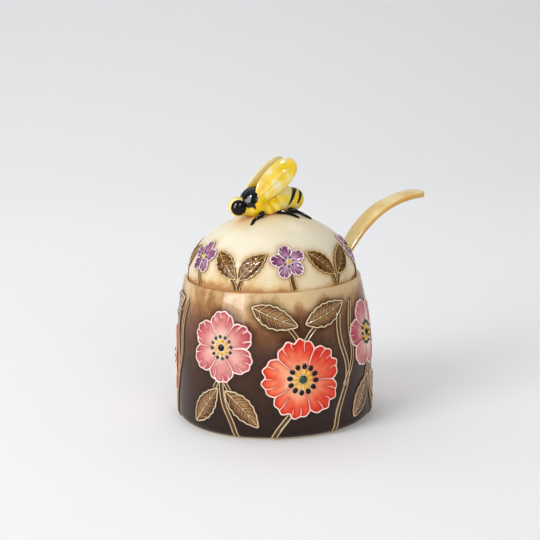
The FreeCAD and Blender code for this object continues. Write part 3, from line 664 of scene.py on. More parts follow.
def leaf(length, width, rows, wrap, seed):
    """One leaf's patch and outline, along the drawing's X axis."""
    draw = np.random.default_rng(seed)
    share = np.linspace(0, 1, LEAF_POINTS // 2 + 1)
    along = (share - 0.5) * length
    wave = 1 + 0.05 * np.sin(share * 40 + draw.uniform(0, 6))
    half = width / 2 * np.sin(math.pi * share**0.9) ** 0.85 * wave
    bow = width * draw.uniform(-0.08, 0.08) * np.sin(math.pi * share)
    lower = np.column_stack([along, bow - half])
    upper = np.column_stack([along, bow + half])[::-1]
    outline = np.vstack([lower[:-1], upper[:-1]])
    reach = np.clip(outline[:, 0], -SPINE_SHARE * length, SPINE_SHARE * length)
    spine = np.column_stack([reach, np.interp(reach, along, bow)])

    trails = [trail(np.column_stack([along, bow]), (0.42, 0.26), (0.6, 0.35))]
    for pair, side in itertools.product(range(VEIN_PAIRS), (-1, 1)):
        root = FIRST_VEIN + VEIN_PITCH * pair
        tip = min(root + draw.uniform(0.13, 0.18), 0.95)
        tip_half = np.interp(tip, share, half) * VEIN_REACH
        start = (np.interp(root, share, along), np.interp(root, share, bow))
        end = (np.interp(tip, share, along), np.interp(tip, share, bow) + side * tip_half)
        middle = (start[0] * 0.6 + end[0] * 0.4, start[1] * 0.4 + end[1] * 0.6)
        trails.append(trail(soften([start, middle, end], 2), (0.3, 0.18), (0.42, 0.2)))

    def fill(across, up, depth):
        """Height of the blade, swollen halfway between rim and midrib."""
        return BLADE_LOW + BLADE_SWELL * np.sin(math.pi * np.clip(depth, 0, 1)) ** 2

    def shade(across, up):
        """One half of the blade lighter than the other."""
        return np.where(up > np.interp(across, along, bow), SUNNY_HALF, SHADY_HALF)

    return patch(outline, spine, trails, fill, shade, wrap, rows), outline


print("veins in a leaf:", 2 * VEIN_PAIRS)

# %% [markdown]
# ## Where the motifs sit
#
# Large coral blossoms stand low on the pot and rose-pink ones higher up, turn about, with leaves in
# pairs above and below them. Small mauve blossoms ring the lid. The places are those of the solids that
# these patches stand for, so the loops below only add the drawing. A leaf is given as length, width and
# rows of its patch, a place as its azimuth and the turn of the drawing.

# %% Motifs on the pot and the lid
CORAL_RADIUS, CORAL_HEIGHT = 19.0, 28.0
PINK_RADIUS, PINK_HEIGHT = 16.5, 42.0
MAUVE_RADIUS = 8.6
POT_LEAF, LID_LEAF = (22.0, 9.5, 28), (17.0, 8.0, 24)
UPPER_LEAF_HEIGHT, LOWER_LEAF_HEIGHT = RIM_HEIGHT - 10.5, 14.5
POT_CORAL = [(-104.0, 12.0), (12.0, -8.0), (140.0, 20.0)]
POT_PINK = [(-151.0, 0.0), (-50.0, 20.0), (75.0, 10.0)]
UPPER_LEAVES = [(-15.0, -24.0), (17.0, 20.0)]
LOWER_LEAVES = [(-11.0, 52.0), (12.0, -46.0)]
LID_MAUVE = [(36.0, 30.0), (108.0, -15.0), (180.0, 0.0), (-108.0, 10.0), (-36.0, 25.0)]
LID_LEAF_PAIR = [(-26.0, 45.0), (26.0, -45.0)]
NOTCH_MARGIN = 20.0
BLOSSOM_RISE = SHOULDER_RADIUS * math.radians(32.0)
LID_LEAF_RISE = SHOULDER_RADIUS * math.radians(27.0)

patches = {kind: [] for kind in RELIEF_GLAZES}
covers = {"pot": [], "lid": []}
seeds = itertools.count(1)


def lay(kind, body, wrap, shape, *size):
    """Draws one motif on a body and keeps its patch and the outline that it covers."""
    made, outline = shape(*size, wrap, next(seeds))
    patches[kind].append(made)
    covers[body].append(wrap(*outline.T, 0.0))


for kind, places, radius, height, pair, leaf_height in (
    ("coral", POT_CORAL, CORAL_RADIUS, CORAL_HEIGHT, UPPER_LEAVES, UPPER_LEAF_HEIGHT),
    ("pink", POT_PINK, PINK_RADIUS, PINK_HEIGHT, LOWER_LEAVES, LOWER_LEAF_HEIGHT),
):
    for azimuth, turn in places:
        lay(kind, "pot", on_pot(azimuth, height, turn), blossom, kind, radius - OUTLINE_HALF)
        for aside, leaf_turn in pair:
            lay("leaf", "pot", on_pot(azimuth + aside, leaf_height, leaf_turn), leaf, *POT_LEAF)
for azimuth, turn in LID_MAUVE:
    lay("mauve", "lid", on_lid(azimuth, BLOSSOM_RISE, turn), blossom, "mauve", MAUVE_RADIUS - OUTLINE_HALF)
    for aside, leaf_turn in LID_LEAF_PAIR:
        if abs(azimuth + aside) > NOTCH_MARGIN:
            lay("lid_leaf", "lid", on_lid(azimuth + aside, LID_LEAF_RISE, leaf_turn), leaf, *LID_LEAF)

for name, kind, body, slot, node in (
    ("coral_blossoms", "coral", "pot", "coral_glaze", "pot_coral_blossoms"),
    ("pink_blossoms", "pink", "pot", "pink_glaze", "pot_pink_blossoms"),
    ("pot_leaf_sprays", "leaf", "pot", "leaf_glaze", "pot_leaves"),
    ("mauve_blossoms", "mauve", "lid", "mauve_glaze", "lid_mauve_blossoms"),
    ("lid_leaf_sprays", "lid_leaf", "lid", "leaf_glaze", "lid_leaves"),
):
    make_piece(name, gather(patches[kind]), RELIEF_GLAZES[kind], body, slot, node)

# %% [markdown]
# ## Stems
#
# A stem is a double trail with brown glaze run in between. It follows a line on the wall, from the foot of
# the pot up to a blossom or a leaf. Stems pass behind the motifs: where a stem's point lies inside a
# motif's outline, it is sunk into the wall.

# %% Stems on the pot and the lid
STEM_GAP, STEM_HALF, STEM_HIGH, STEM_FILL = 1.0, 0.45, 0.6, 0.14
STEM_EDGE = STEM_GAP + STEM_HALF
STEM_ACROSS = np.concatenate([np.linspace(-STEM_EDGE, STEM_EDGE, 17), [STEM_EDGE, -STEM_EDGE]])
STEM_STEP, STEM_BLEND, SLIM = 0.35, 3, 0.8
NOT_NOUGHT = 1e-12
LID_FOOT = 0.5
LID_FORKS = [72.0, 144.0, -144.0, -72.0]
TALL_STEMS = [-77.0, -20.5, 45.0, 106.5, 166.0]
POT_STEMS = [
    ([azimuth for azimuth, _ in POT_CORAL], [
        ([(-14, 1.2), (-11, 6), (-5, 13), (0, 24)], 1.0),
        ([(-13, 57), (-5, 51), (-1, 45), (0, 34)], SLIM),
        ([(14, 56), (6, 50), (1, 44), (0, 34)], SLIM)]),
    ([azimuth for azimuth, _ in POT_PINK], [
        ([(7, 1.2), (5, 8), (0, 18), (0, 34)], 1.0),
        ([(-9, 14), (-5, 21), (0, 30)], SLIM),
        ([(9, 15), (5, 21), (0, 30)], SLIM)]),
    (TALL_STEMS, [
        ([(-6, 1.2), (-4, 12), (4, 28), (-3, 46), (1, 61)], 1.0),
        ([(0, 22), (7, 34), (5, 48), (9, 60)], SLIM)]),
]


def centred(angle):
    """Angle brought to within half a turn of nought."""
    return (angle + math.pi) % FULL_TURN - math.pi


def inside_any(places, outlines):
    """Whether each place, as angle and height, lies inside one of the outlines."""
    hidden = np.zeros(len(places), bool)
    for outline in outlines:
        middle = math.atan2(*outline.mean(axis=0)[1::-1])
        around = centred(np.arctan2(outline[:, 1], outline[:, 0]) - middle)
        corners = np.column_stack([around, outline[:, 2]])
        x, y = centred(places[:, 0] - middle), places[:, 1]
        crossed = np.zeros(len(places), bool)
        for (ax, ay), (bx, by) in zip(corners, np.roll(corners, -1, axis=0)):
            straddles = (ay > y) != (by > y)
            if straddles.any():
                crossed ^= straddles & (x < (bx - ax) * (y - ay) / (by - ay + NOT_NOUGHT) + ax)
        hidden |= crossed
    return hidden


stems, stem_lines = {"pot": [], "lid": []}, {"pot": [], "lid": []}


def stem(body, route, wrap, slim=1.0):
    """Lays a double trail along a route of (across, up) points and keeps the line that shows."""
    line = resample(soften(route), STEM_STEP)
    step = np.gradient(line, axis=0)
    aside = np.column_stack([-step[:, 1], step[:, 0]]) / np.linalg.norm(step, axis=1)[:, None]
    flat = line[:, None] + aside[:, None] * STEM_ACROSS[None, :, None] * slim
    raised = bead(np.abs(np.abs(STEM_ACROSS) - STEM_GAP), STEM_HALF)
    middle = np.abs(STEM_ACROSS) < STEM_GAP
    between = np.where(middle, STEM_FILL, EDGE_SUNK)
    lift = between + (STEM_HIGH - between) * raised
    lift[-2:] = SUNK
    on_wall = wrap(line[:, 0], line[:, 1], 0.0)
    places = np.column_stack([np.arctan2(on_wall[:, 1], on_wall[:, 0]), on_wall[:, 2]])
    shown = np.convolve(~inside_any(places, covers[body]), np.ones(STEM_BLEND) / STEM_BLEND, mode="same")
    shown *= np.clip(np.arange(len(line))[::-1] / STEM_BLEND, 0, 1)
    lifts = SUNK + (lift - SUNK)[None, :] * shown[:, None]
    section = {"trail": raised, "pool": np.where(raised > 0, 0.5, 0.9), "inward": middle.astype(float)}
    marks = {label: np.tile(values, len(line)) for label, values in section.items()}
    stems[body].append((*skin(wrap(flat[..., 0], flat[..., 1], lifts)), marks))
    stem_lines[body].append(on_wall[shown > 0.5])


for azimuths, routes in POT_STEMS:
    for azimuth, (route, slim) in itertools.product(azimuths, routes):
        stem("pot", [(x, y - BELLY_TOP) for x, y in route], on_pot(azimuth, BELLY_TOP), slim)
for azimuth, _ in LID_MAUVE:
    stem("lid", [(2, LID_FOOT), (1, 4), (0, BLOSSOM_RISE)], on_lid(azimuth, 0.0))
for azimuth, side in itertools.product(LID_FORKS, (-1, 1)):
    route = [(side * 0.5, LID_FOOT), (side * 1.5, 4), (side * 7, LID_LEAF_RISE)]
    stem("lid", route, on_lid(azimuth, 0.0), SLIM)
make_piece("pot_stem_trails", gather(stems["pot"]), RELIEF_GLAZES["stem"], "pot", "leaf_glaze")
make_piece("lid_stem_trails", gather(stems["lid"]), RELIEF_GLAZES["lid_leaf"], "lid", "leaf_glaze")

# %% [markdown]
# ## Hearts of the blossoms
#
# The middles are drops of slip: a domed button, a ring of short seeds round it and a ring of beads. Each
# drop is a small flattened ball pressed into the petals, and a button is a ring of one. Black, yellow and
# green drops are separate pieces, because each has its own glaze.

# %% Drops of slip
# Each ring: its colour, count and radius, then a drop's half length, half width, height and seat, then
# the angle that the ring starts at.
HEARTS = [
    ("pot", on_pot, CORAL_HEIGHT, POT_CORAL, [
        ("green", 1, 0.0, 1.9, 1.9, 0.8, 0.55, 0.0),
        ("gold", 11, 3.5, 1.5, 0.6, 0.5, 0.55, 0.0),
        ("black", 12, 6.0, 1.4, 1.15, 0.72, 0.33, 10.0)]),
    ("pot", on_pot, PINK_HEIGHT, POT_PINK, [
        ("black", 1, 0.0, 1.6, 1.6, 0.8, 0.5, 0.0),
        ("gold", 9, 2.9, 0.85, 0.7, 0.6, 0.5, 0.0),
        ("green", 12, 4.9, 0.85, 0.75, 0.65, 0.4, 8.0)]),
    ("lid", on_lid, BLOSSOM_RISE, LID_MAUVE, [
        ("gold", 1, 0.0, 1.0, 1.0, 0.6, 0.4, 0.0),
        ("black", 7, 2.2, 0.5, 0.42, 0.4, 0.35, 0.0)]),
]


def ball(rings=9, columns=14):
    """Unit ball as rings of points along its own Z axis."""
    polar = np.linspace(0, math.pi, rings)[:, None]
    around = np.linspace(0, FULL_TURN, columns, endpoint=False)[None, :]
    return np.stack([np.sin(polar) * np.cos(around), np.sin(polar) * np.sin(around),
                     np.cos(polar) * np.ones_like(around)], axis=-1)


def drop_ring(wrap, count, radius, long, wide, high, base, start):
    """Ring of flattened balls on a motif, their long axes pointing outwards."""
    unit = ball()
    parts = []
    for number in range(count):
        turn = start + 360 * number / count
        across, up = turned(radius, 0.0, turn)
        x, y = turned(unit[..., 0] * long, unit[..., 1] * wide, turn)
        points = wrap(across + x, up + y, base + unit[..., 2] * high)
        parts.append((points.reshape(-1, 3), grid(*unit.shape[:2]), {}))
    return parts


def clouded_glaze(name, patch, stops, layers=(), lean=None, detail=3.0, coat=GLAZE_COAT):
    """Brushed glaze that drifts between shades over patches of a size, with paints laid over it.

    A lean is a mask that moves the drift along its shades, and how far it does so.
    """
    material, tree, place = new_glaze(name, coat)
    drift = add(tree, "TexNoise", {"Vector": place, "Scale": 1 / (patch * MM), "Detail": detail})
    if lean:
        mask, share = lean
        cover = add(tree, "Attribute", out="Fac", attribute_name=mask)
        drift = add(tree, "Math", {0: cover, 1: share, 2: drift}, operation="MULTIPLY_ADD")
    tone = add(tree, "ValToRGB", {"Fac": drift}, stops=stops)
    return coloured(material, painted_over(tree, tone, layers))


# Small drops of glossy glaze: the black is dense, the green and the gold are lighter where they run thin.
DROP_GLAZES = {
    "black": clouded_glaze("black_glaze", 2.0, [(0.35, "#050404"), (0.65, "#0E0B09")], coat=0.45),
    "green": clouded_glaze("bottle_green_glaze", 1.5, [(0.35, "#0E2418"), (0.65, "#2C5138")]),
    "gold": clouded_glaze("golden_yellow_glaze", 1.2, [(0.35, "#D99A0A"), (0.65, "#F4D23A")]),
}
drops = {}
for body, wrapper, level, places, rings in HEARTS:
    for (azimuth, turn), (colour, *ring) in itertools.product(places, rings):
        drops.setdefault((body, colour), []).extend(drop_ring(wrapper(azimuth, level, turn), *ring))
for name, body, colour, slot in (
    ("blossom_black_drops", "pot", "black", "bee_black"),
    ("blossom_gold_drops", "pot", "gold", "bee_yellow"),
    ("blossom_green_drops", "pot", "green", "leaf_glaze"),
    ("lid_gold_drops", "lid", "gold", "bee_yellow"),
    ("lid_black_drops", "lid", "black", "bee_black"),
):
    make_piece(name, gather(drops[body, colour]), DROP_GLAZES[colour], body, slot)

# %% [markdown]
# ## The pot
#
# The pot is turned: a profile spun about its axis. Its ground is sprayed, from warm cream at the lip through
# a mottled tan to a brown that is almost black at the foot. Against the trails the brown collects in a
# thin dark line. The narrow rim that the pot stands on is wiped clean and shows bare clay.

# %% Turned pot
WALL, FLOOR, FLOOR_CORNER, FLOOR_STEP = 4.8, 5.0, 8.0, 4.0
LEDGE_WIDTH, LEDGE_THICKNESS, LEDGE_FILLET, LEDGE_ROUND = 3.7, 2.0, 0.3, 0.4
FOOT_INSET, WALL_ROW, POT_COLUMNS, LIP_ROWS = 0.6, 0.56, 480, 3
HALO_REACH = 1.4


def lathe(profile, columns):
    """Rings of points round the Z axis for a profile of (radius, height) pairs."""
    around = np.linspace(0, FULL_TURN, columns, endpoint=False)
    radius, height = np.asarray(profile, float).T
    return np.stack([radius[:, None] * np.cos(around), radius[:, None] * np.sin(around),
                     height[:, None] * np.ones(columns)], axis=-1)


def halo(points, hidden, edges):
    """One beside a trail, fading to nothing over the halo's reach."""
    marks = np.zeros(len(points))
    shown = np.flatnonzero(~hidden)
    _, distance = nearest(points[shown], np.vstack(edges))
    marks[shown] = fade(distance - OUTLINE_HALF, HALO_REACH)
    return marks


lip_level = RIM_HEIGHT - LIP_ROUND
lip_inner = RIM_RADIUS - LIP_THICKNESS
ledge_inner = lip_inner - LEDGE_WIDTH
inner_belly = BELLY_RADIUS - WALL
ledge_under = LEDGE_HEIGHT - LEDGE_THICKNESS
wall_heights = np.linspace(BASE_CORNER, lip_level, int((lip_level - BASE_CORNER) / WALL_ROW) + 1)
inner_share = np.linspace(0, 1, 16)
inside_top = np.column_stack([ledge_inner + (inner_belly - ledge_inner) * (1 - (1 - inner_share) ** 2),
                              ledge_under + (BELLY_TOP - ledge_under) * inner_share])
outside = np.vstack([
    resample([(0.0, 0.0), (BELLY_RADIUS - BASE_CORNER - FOOT_INSET, 0.0)], FLOOR_STEP),
    arc((BELLY_RADIUS - BASE_CORNER, BASE_CORNER), BASE_CORNER, -90, 0, 12)[:-1],
    np.column_stack([pot_wall(wall_heights)[0], wall_heights]),
    arc((RIM_RADIUS - LIP_ROUND, lip_level), LIP_ROUND, 0, 90, 7)[1:],
])
inside = np.vstack([
    arc((lip_inner + LIP_ROUND, lip_level), LIP_ROUND, 90, 180, 7),
    [(lip_inner, LEDGE_HEIGHT + LEDGE_FILLET), (lip_inner - LEDGE_FILLET, LEDGE_HEIGHT)],
    [(ledge_inner + LEDGE_ROUND, LEDGE_HEIGHT), (ledge_inner, LEDGE_HEIGHT - LEDGE_ROUND)],
    inside_top,
    [(inner_belly, FLOOR + FLOOR_CORNER)],
    arc((inner_belly - FLOOR_CORNER, FLOOR + FLOOR_CORNER), FLOOR_CORNER, 0, -90, 9)[1:],
    resample([(inner_belly - FLOOR_CORNER, FLOOR), (0.0, FLOOR)], FLOOR_STEP)[1:],
])
pot_rings = lathe(np.vstack([outside, inside]), POT_COLUMNS)
pot_points = pot_rings.reshape(-1, 3)
is_inside = np.repeat(np.arange(len(pot_rings)) >= len(outside) + LIP_ROWS, POT_COLUMNS)
pot_halo = halo(pot_points, is_inside, covers["pot"] + stem_lines["pot"])
print("pot rings:", len(pot_rings), "points beside a trail:", int((pot_halo > 0.5).sum()))

# %% Ground glaze of the pot
FOOT_HEIGHT = 1.1
MOTTLE, STREAK, STREAK_SQUASH, STREAKS = 16.0, 5.0, 0.22, 0.35
POT_SPREAD, LID_SPREAD = 0.55, 0.5


def sprayed_wash(tree, place, foot, rise, spread, stops, streaks=0.0):
    """Sprayed colours that change from a foot upwards and drift with a mottle and upright streaks."""
    height = add(tree, "SeparateXYZ", {"Vector": place}, out="Z")
    over = add(tree, "Math", {0: height, 1: foot * MM}, operation="SUBTRACT")
    level = add(tree, "Math", {0: over, 1: rise * MM}, operation="DIVIDE")
    drift = add(tree, "TexNoise", {"Vector": place, "Scale": 1 / (MOTTLE * MM), "Detail": 5.0,
                                   "Roughness": 0.6})
    if streaks:
        tall = add(tree, "Mapping", {"Vector": place, "Scale": (1.0, 1.0, STREAK_SQUASH)})
        streak = add(tree, "TexNoise", {"Vector": tall, "Scale": 1 / (STREAK * MM), "Detail": 4.0})
        drift = add(tree, "Math", {0: streak, 1: streaks, 2: drift}, operation="MULTIPLY_ADD")
    even = add(tree, "Math", {0: drift, 1: 0.5 * (1 + streaks)}, operation="SUBTRACT")
    mottled = add(tree, "Math", {0: even, 1: spread, 2: level}, operation="MULTIPLY_ADD")
    return add(tree, "ValToRGB", {"Fac": mottled}, stops=stops)


def sprayed_ground(name):
    """Sprayed glaze: warm cream at the lip, mottled tan below it and near-black brown at the foot."""
    material, tree, place = new_glaze(name)
    wash = sprayed_wash(tree, place, 0.0, RIM_HEIGHT, POT_SPREAD, [
        (0.0, "#240E04"), (0.24, "#301608"), (0.46, "#40220F"), (0.65, "#57341B"), (0.79, "#7C5133"),
        (0.89, "#A67A50"), (0.95, "#C79F70"), (1.0, "#DBBC8E")], STREAKS)
    lined = painted_over(tree, wash, [("halo", 0.8, "#140A05"), ("inside", 1.0, "#EFE2C6")])
    height = add(tree, "SeparateXYZ", {"Vector": place}, out="Z")
    foot = add(tree, "Math", {0: height, 1: FOOT_HEIGHT * MM}, operation="LESS_THAN")
    return coloured(material, add(tree, "MixRGB", {"Fac": foot, "Color1": lined, "Color2": paint("#DCC6A4")}))


pot_part = (pot_points, grid(*pot_rings.shape[:2]), {"halo": pot_halo, "inside": is_inside.astype(float)})
brown_ground = sprayed_ground("sprayed_brown_ground_glaze")
make_piece("turned_pot", pot_part, brown_ground, "pot", "pot_glaze", "pot_body")

# %% [markdown]
# ## The lid
#
# The lid is turned like the pot, and then a notch is cut through its edge for the spoon. A Boolean
# modifier does the cutting. Fired clay has no sharp edge, so the points close to the cut are smoothed
# afterwards. The ivory glaze is warmer towards the edge, where brown has been sprayed, and amber
# collects round the trails. Round the bee's foot, amber painted shade stands in for the bee's shadow on the
# dome.

# %% Turned lid with its notch
LID_WALL, LID_EDGE_ROUND, LID_COLUMNS, LID_ROW = 4.0, 0.6, 440, 0.6
NOTCH_WIDTH, NOTCH_TOP, NOTCH_CORNER = 12.6, 75.4, 3.0
CUTTER_BELOW, CUTTER_START, CUTTER_END = 5.0, 10.0, LID_RADIUS + 10.0
CUT_STEP, CUT_REACH, CUT_ROUNDS = 0.2, 0.5, 3
CUT_START, EDGE_KEPT = 20.0, 0.05
slope_length = SHOULDER_RADIUS * JOIN_TILT + CROWN_RADIUS * (math.pi / 2 - JOIN_TILT)
rises = np.linspace(0, slope_length, int(slope_length / LID_ROW))
dome_radius, dome_height, dome_lean = dome_wall(rises)
every_third_down = slice(None, None, -3)
lid_profile = np.vstack([
    [(LID_RADIUS - LID_WALL, LEDGE_HEIGHT)],
    arc((LID_RADIUS - LID_EDGE_ROUND, LEDGE_HEIGHT + LID_EDGE_ROUND), LID_EDGE_ROUND, -90, 0, 5),
    np.column_stack([dome_radius, dome_height]),
    np.column_stack([dome_radius - LID_WALL * np.cos(dome_lean),
                     dome_height - LID_WALL * np.sin(dome_lean)])[every_third_down],
    [(LID_RADIUS - LID_WALL, LEDGE_HEIGHT)],
])
lid_profile[:, 0] = np.clip(lid_profile[:, 0], 0.0, None)


def clay_object(name, points, faces):
    """Object for a modifier to work on."""
    return put(name, welded(name, points, faces, {}))


def result_of(thing, *helpers):
    """Points and faces that an object's modifiers give, in millimetres. The objects are then removed."""
    graph = bpy.context.evaluated_depsgraph_get()
    mesh = bpy.data.meshes.new_from_object(thing.evaluated_get(graph))
    points = np.array([v.co for v in mesh.vertices]) / MM
    faces = [tuple(p.vertices) for p in mesh.polygons]
    for spent in (thing, *helpers):
        bpy.data.objects.remove(spent)
    return points, faces


def soften_cut(points, faces, near, rounds):
    """Moves points near a cut towards the middle of their neighbours, which rounds its edges."""
    pairs = np.array([(face[i - 1], face[i]) for face in faces for i in range(len(face))])
    pairs = pairs[near[pairs[:, 0]] | near[pairs[:, 1]]]
    pairs = np.vstack([pairs, pairs[:, ::-1]])
    for _ in range(rounds):
        total, count = np.zeros_like(points), np.zeros(len(points))
        np.add.at(total, pairs[:, 0], points[pairs[:, 1]])
        np.add.at(count, pairs[:, 0], 1)
        middle = total / np.maximum(count, 1)[:, None]
        points = np.where(near[:, None], points * 0.5 + middle * 0.5, points)
    return points


lid_rings = lathe(lid_profile, LID_COLUMNS)
blank = clay_object("lid_blank", lid_rings.reshape(-1, 3), grid(*lid_rings.shape[:2]))
half_notch, corner_level = NOTCH_WIDTH / 2, NOTCH_TOP - NOTCH_CORNER
notch_foot = [(-half_notch, LEDGE_HEIGHT - CUTTER_BELOW), (half_notch, LEDGE_HEIGHT - CUTTER_BELOW)]
notch_top = np.vstack([arc((half_notch - NOTCH_CORNER, corner_level), NOTCH_CORNER, 0, 90, 8),
                       arc((NOTCH_CORNER - half_notch, corner_level), NOTCH_CORNER, 90, 180, 8)])
notch_outline = np.vstack([notch_foot, notch_top])
cutter_rings = [np.column_stack([np.full(len(notch_outline), x), notch_outline])
                for x in (CUTTER_START, CUTTER_END)]
cutter = clay_object("notch_cutter", *skin(cutter_rings))
cut = blank.modifiers.new("notch", "BOOLEAN")
cut.operation, cut.solver, cut.object = "DIFFERENCE", "EXACT", cutter
lid_points, lid_faces = result_of(blank, cutter)

notch_side = resample([(half_notch, LEDGE_HEIGHT), (half_notch, corner_level)], CUT_STEP)
cut_line = np.vstack([notch_side, resample(notch_top, CUT_STEP), notch_side * (-1, 1)])
_, from_cut = nearest(lid_points[:, 1:], cut_line)
near_cut = (from_cut < CUT_REACH) & (lid_points[:, 0] > CUT_START)
near_cut &= lid_points[:, 2] > LEDGE_HEIGHT + EDGE_KEPT
lid_points = soften_cut(lid_points, lid_faces, near_cut, CUT_ROUNDS)
print("lid points:", len(lid_points), "smoothed beside the notch:", int(near_cut.sum()))

# %% Ivory glaze of the lid
INSIDE_DEPTH = 0.4
BEE_SHADE_START, BEE_SHADE_REACH = 1.0, 2.2
SPECK_PITCH, SPECK_SHARE, SPECK_STRENGTH = 5.0, 0.05, 0.35
BEE_FOOT = [(-16.0, 0.0), (-6.0, -5.5), (4.0, -5.5), (13.0, 0.0), (4.0, 5.5), (-6.0, 5.5), (-16.0, 0.0)]
radial, lid_z = np.hypot(lid_points[:, 0], lid_points[:, 1]), lid_points[:, 2]
from_shoulder = np.hypot(radial - SHOULDER_X, lid_z - RIM_HEIGHT)
depth_in = np.where(lid_z < RIM_HEIGHT, LID_RADIUS - radial, SHOULDER_RADIUS - from_shoulder)
on_crown = np.arctan2(lid_z - CROWN_HEIGHT, radial) > JOIN_TILT
depth_in = np.where(on_crown, CROWN_RADIUS - np.hypot(radial, lid_z - CROWN_HEIGHT), depth_in)
lid_inside = depth_in > INSIDE_DEPTH
foot_line = resample(soften(BEE_FOOT), 0.4)
_, from_bee = nearest(lid_points, np.column_stack([foot_line, crown_level(*foot_line.T)]))
lid_marks = {
    "halo": halo(lid_points, lid_inside, covers["lid"] + stem_lines["lid"]),
    # Painted shade: amber that fades out from the bee's foot stands in for the bee's shadow on the dome.
    "painted_bee_shade": fade(from_bee - BEE_SHADE_START, BEE_SHADE_REACH),
    "inside": lid_inside.astype(float),
}


def ivory_glaze(name):
    """Warm ivory, sprayed brown at the lower edge, with amber round the trails, amber painted shade round the
    bee's foot and a few kiln specks.
    """
    material, tree, place = new_glaze(name)
    wash = sprayed_wash(tree, place, RIM_HEIGHT, DOME_HEIGHT, LID_SPREAD, [
        (0.0, "#BC8A54"), (0.05, "#D9B784"), (0.13, "#EAD7AE"), (0.3, "#F0E3C2"), (0.7, "#F2E8CF"),
        (1.0, "#EEDDB2")])
    # The second layer is painted shade round the bee's foot.
    honeyed = painted_over(tree, wash, [("halo", 0.7, "#BC8436"), ("painted_bee_shade", 0.55, "#DC9A45")])
    dots = add(tree, "TexVoronoi", {"Vector": place, "Scale": 1 / (SPECK_PITCH * MM)})
    speck = add(tree, "Math", {0: dots, 1: SPECK_SHARE}, operation="LESS_THAN")
    faint = add(tree, "Math", {0: speck, 1: SPECK_STRENGTH}, operation="MULTIPLY")
    flecked = add(tree, "MixRGB", {"Fac": faint, "Color1": honeyed, "Color2": paint("#8A5A2C")})
    return coloured(material, painted_over(tree, flecked, [("inside", 1.0, "#EFE3CA")]))


lid_part = (lid_points, lid_faces, lid_marks)
make_piece("turned_lid", lid_part, ivory_glaze("warm_ivory_glaze"), "lid", "lid_glaze", "lid_dome")

# %% [markdown]
# ## The spoon
#
# The spoon is one pressed strip of clay. A rounded section runs from the tip of the bowl up the straight
# shank, over the bend and out to the rounded end. In the bowl the section widens and its upper side
# sinks. Towards the strip's edges the cream glaze turns honey-coloured.

# %% Pressed spoon
spoon_joint = next(joint for joint in frame["joints"] if joint["name"] == "spoon_draw")
shank_way = np.array(spoon_joint["axis"], float)
face_way = np.array([-shank_way[2], 0.0, shank_way[0]])
HANDLE_WIDTH, HANDLE_THICK, SPOON_CLEARANCE = 9.2, 2.8, 0.45
BEND_START, BEND_RADIUS, BEND_TURN = 18.5, 47.0, math.radians(50.0)
BOWL_LENGTH, BOWL_WIDTH, BOWL_DEPTH, BOWL_WALL = 32.0, 21.0, 8.0, 2.4
TIP_LENGTH, TIP_SQUARE, TIP_THIN, LEAST_HALF = HANDLE_WIDTH / 2 - 1.0, 2.6, 0.72, 0.15
FLARE_START, FLARE_FULL, FLARE, FLARE_END, END_THICK = 4.0, 30.0, 1.3, 1.34, 1.25
SECTION, SECTION_ROUND = 40, 0.6
HOLLOW_SHARE, BELLY_SHARE, NECK_START = 0.86, 0.8, 0.55
AMBER_START, AMBER = 0.88, 0.8
BOWL_ROWS, SHANK_ROWS, TIP_ROWS = 44, 90, 16
BOWL_TURN, SHANK_SHARE, POLE_GAP = math.pi * 0.75, 0.37, 0.02
rest_off = HANDLE_THICK / 2 + SPOON_CLEARANCE
rest_point = np.array([ledge_inner, 0.0, LEDGE_HEIGHT]) + face_way * rest_off
bowl_hangs = math.hypot(BOWL_LENGTH / 2 * shank_way[2], BOWL_DEPTH * shank_way[0])
bowl_low = rest_point[2] + HANDLE_THICK / 2 * shank_way[0] - bowl_hangs - FLOOR - SPOON_CLEARANCE
bowl_middle = -bowl_low / shank_way[2]
shank_end = BEND_START + BEND_RADIUS * BEND_TURN
stations = np.concatenate([
    bowl_middle - BOWL_LENGTH / 2 * np.cos(np.linspace(POLE_GAP, BOWL_TURN, BOWL_ROWS)),
    np.linspace(bowl_middle + BOWL_LENGTH * SHANK_SHARE, shank_end, SHANK_ROWS)[1:],
    shank_end + TIP_LENGTH * np.sin(np.linspace(0, math.pi / 2 - POLE_GAP, TIP_ROWS))[1:],
])


def spoon_line(station):
    """Point on the spoon's middle line and the direction of its upper face."""
    if station <= BEND_START:
        return rest_point + shank_way * station, face_way
    turn = min((station - BEND_START) / BEND_RADIUS, BEND_TURN)
    past = max(station - shank_end, 0.0)
    way = shank_way * math.cos(turn) - face_way * math.sin(turn)
    up = face_way * math.cos(turn) + shank_way * math.sin(turn)
    centre = rest_point + shank_way * BEND_START - face_way * BEND_RADIUS
    return centre + up * BEND_RADIUS + way * past, up


def squared(wave, power):
    """Flattens a sine or cosine towards its ends, which turns a round section into a rounded box."""
    return np.sign(wave) * np.abs(wave) ** power


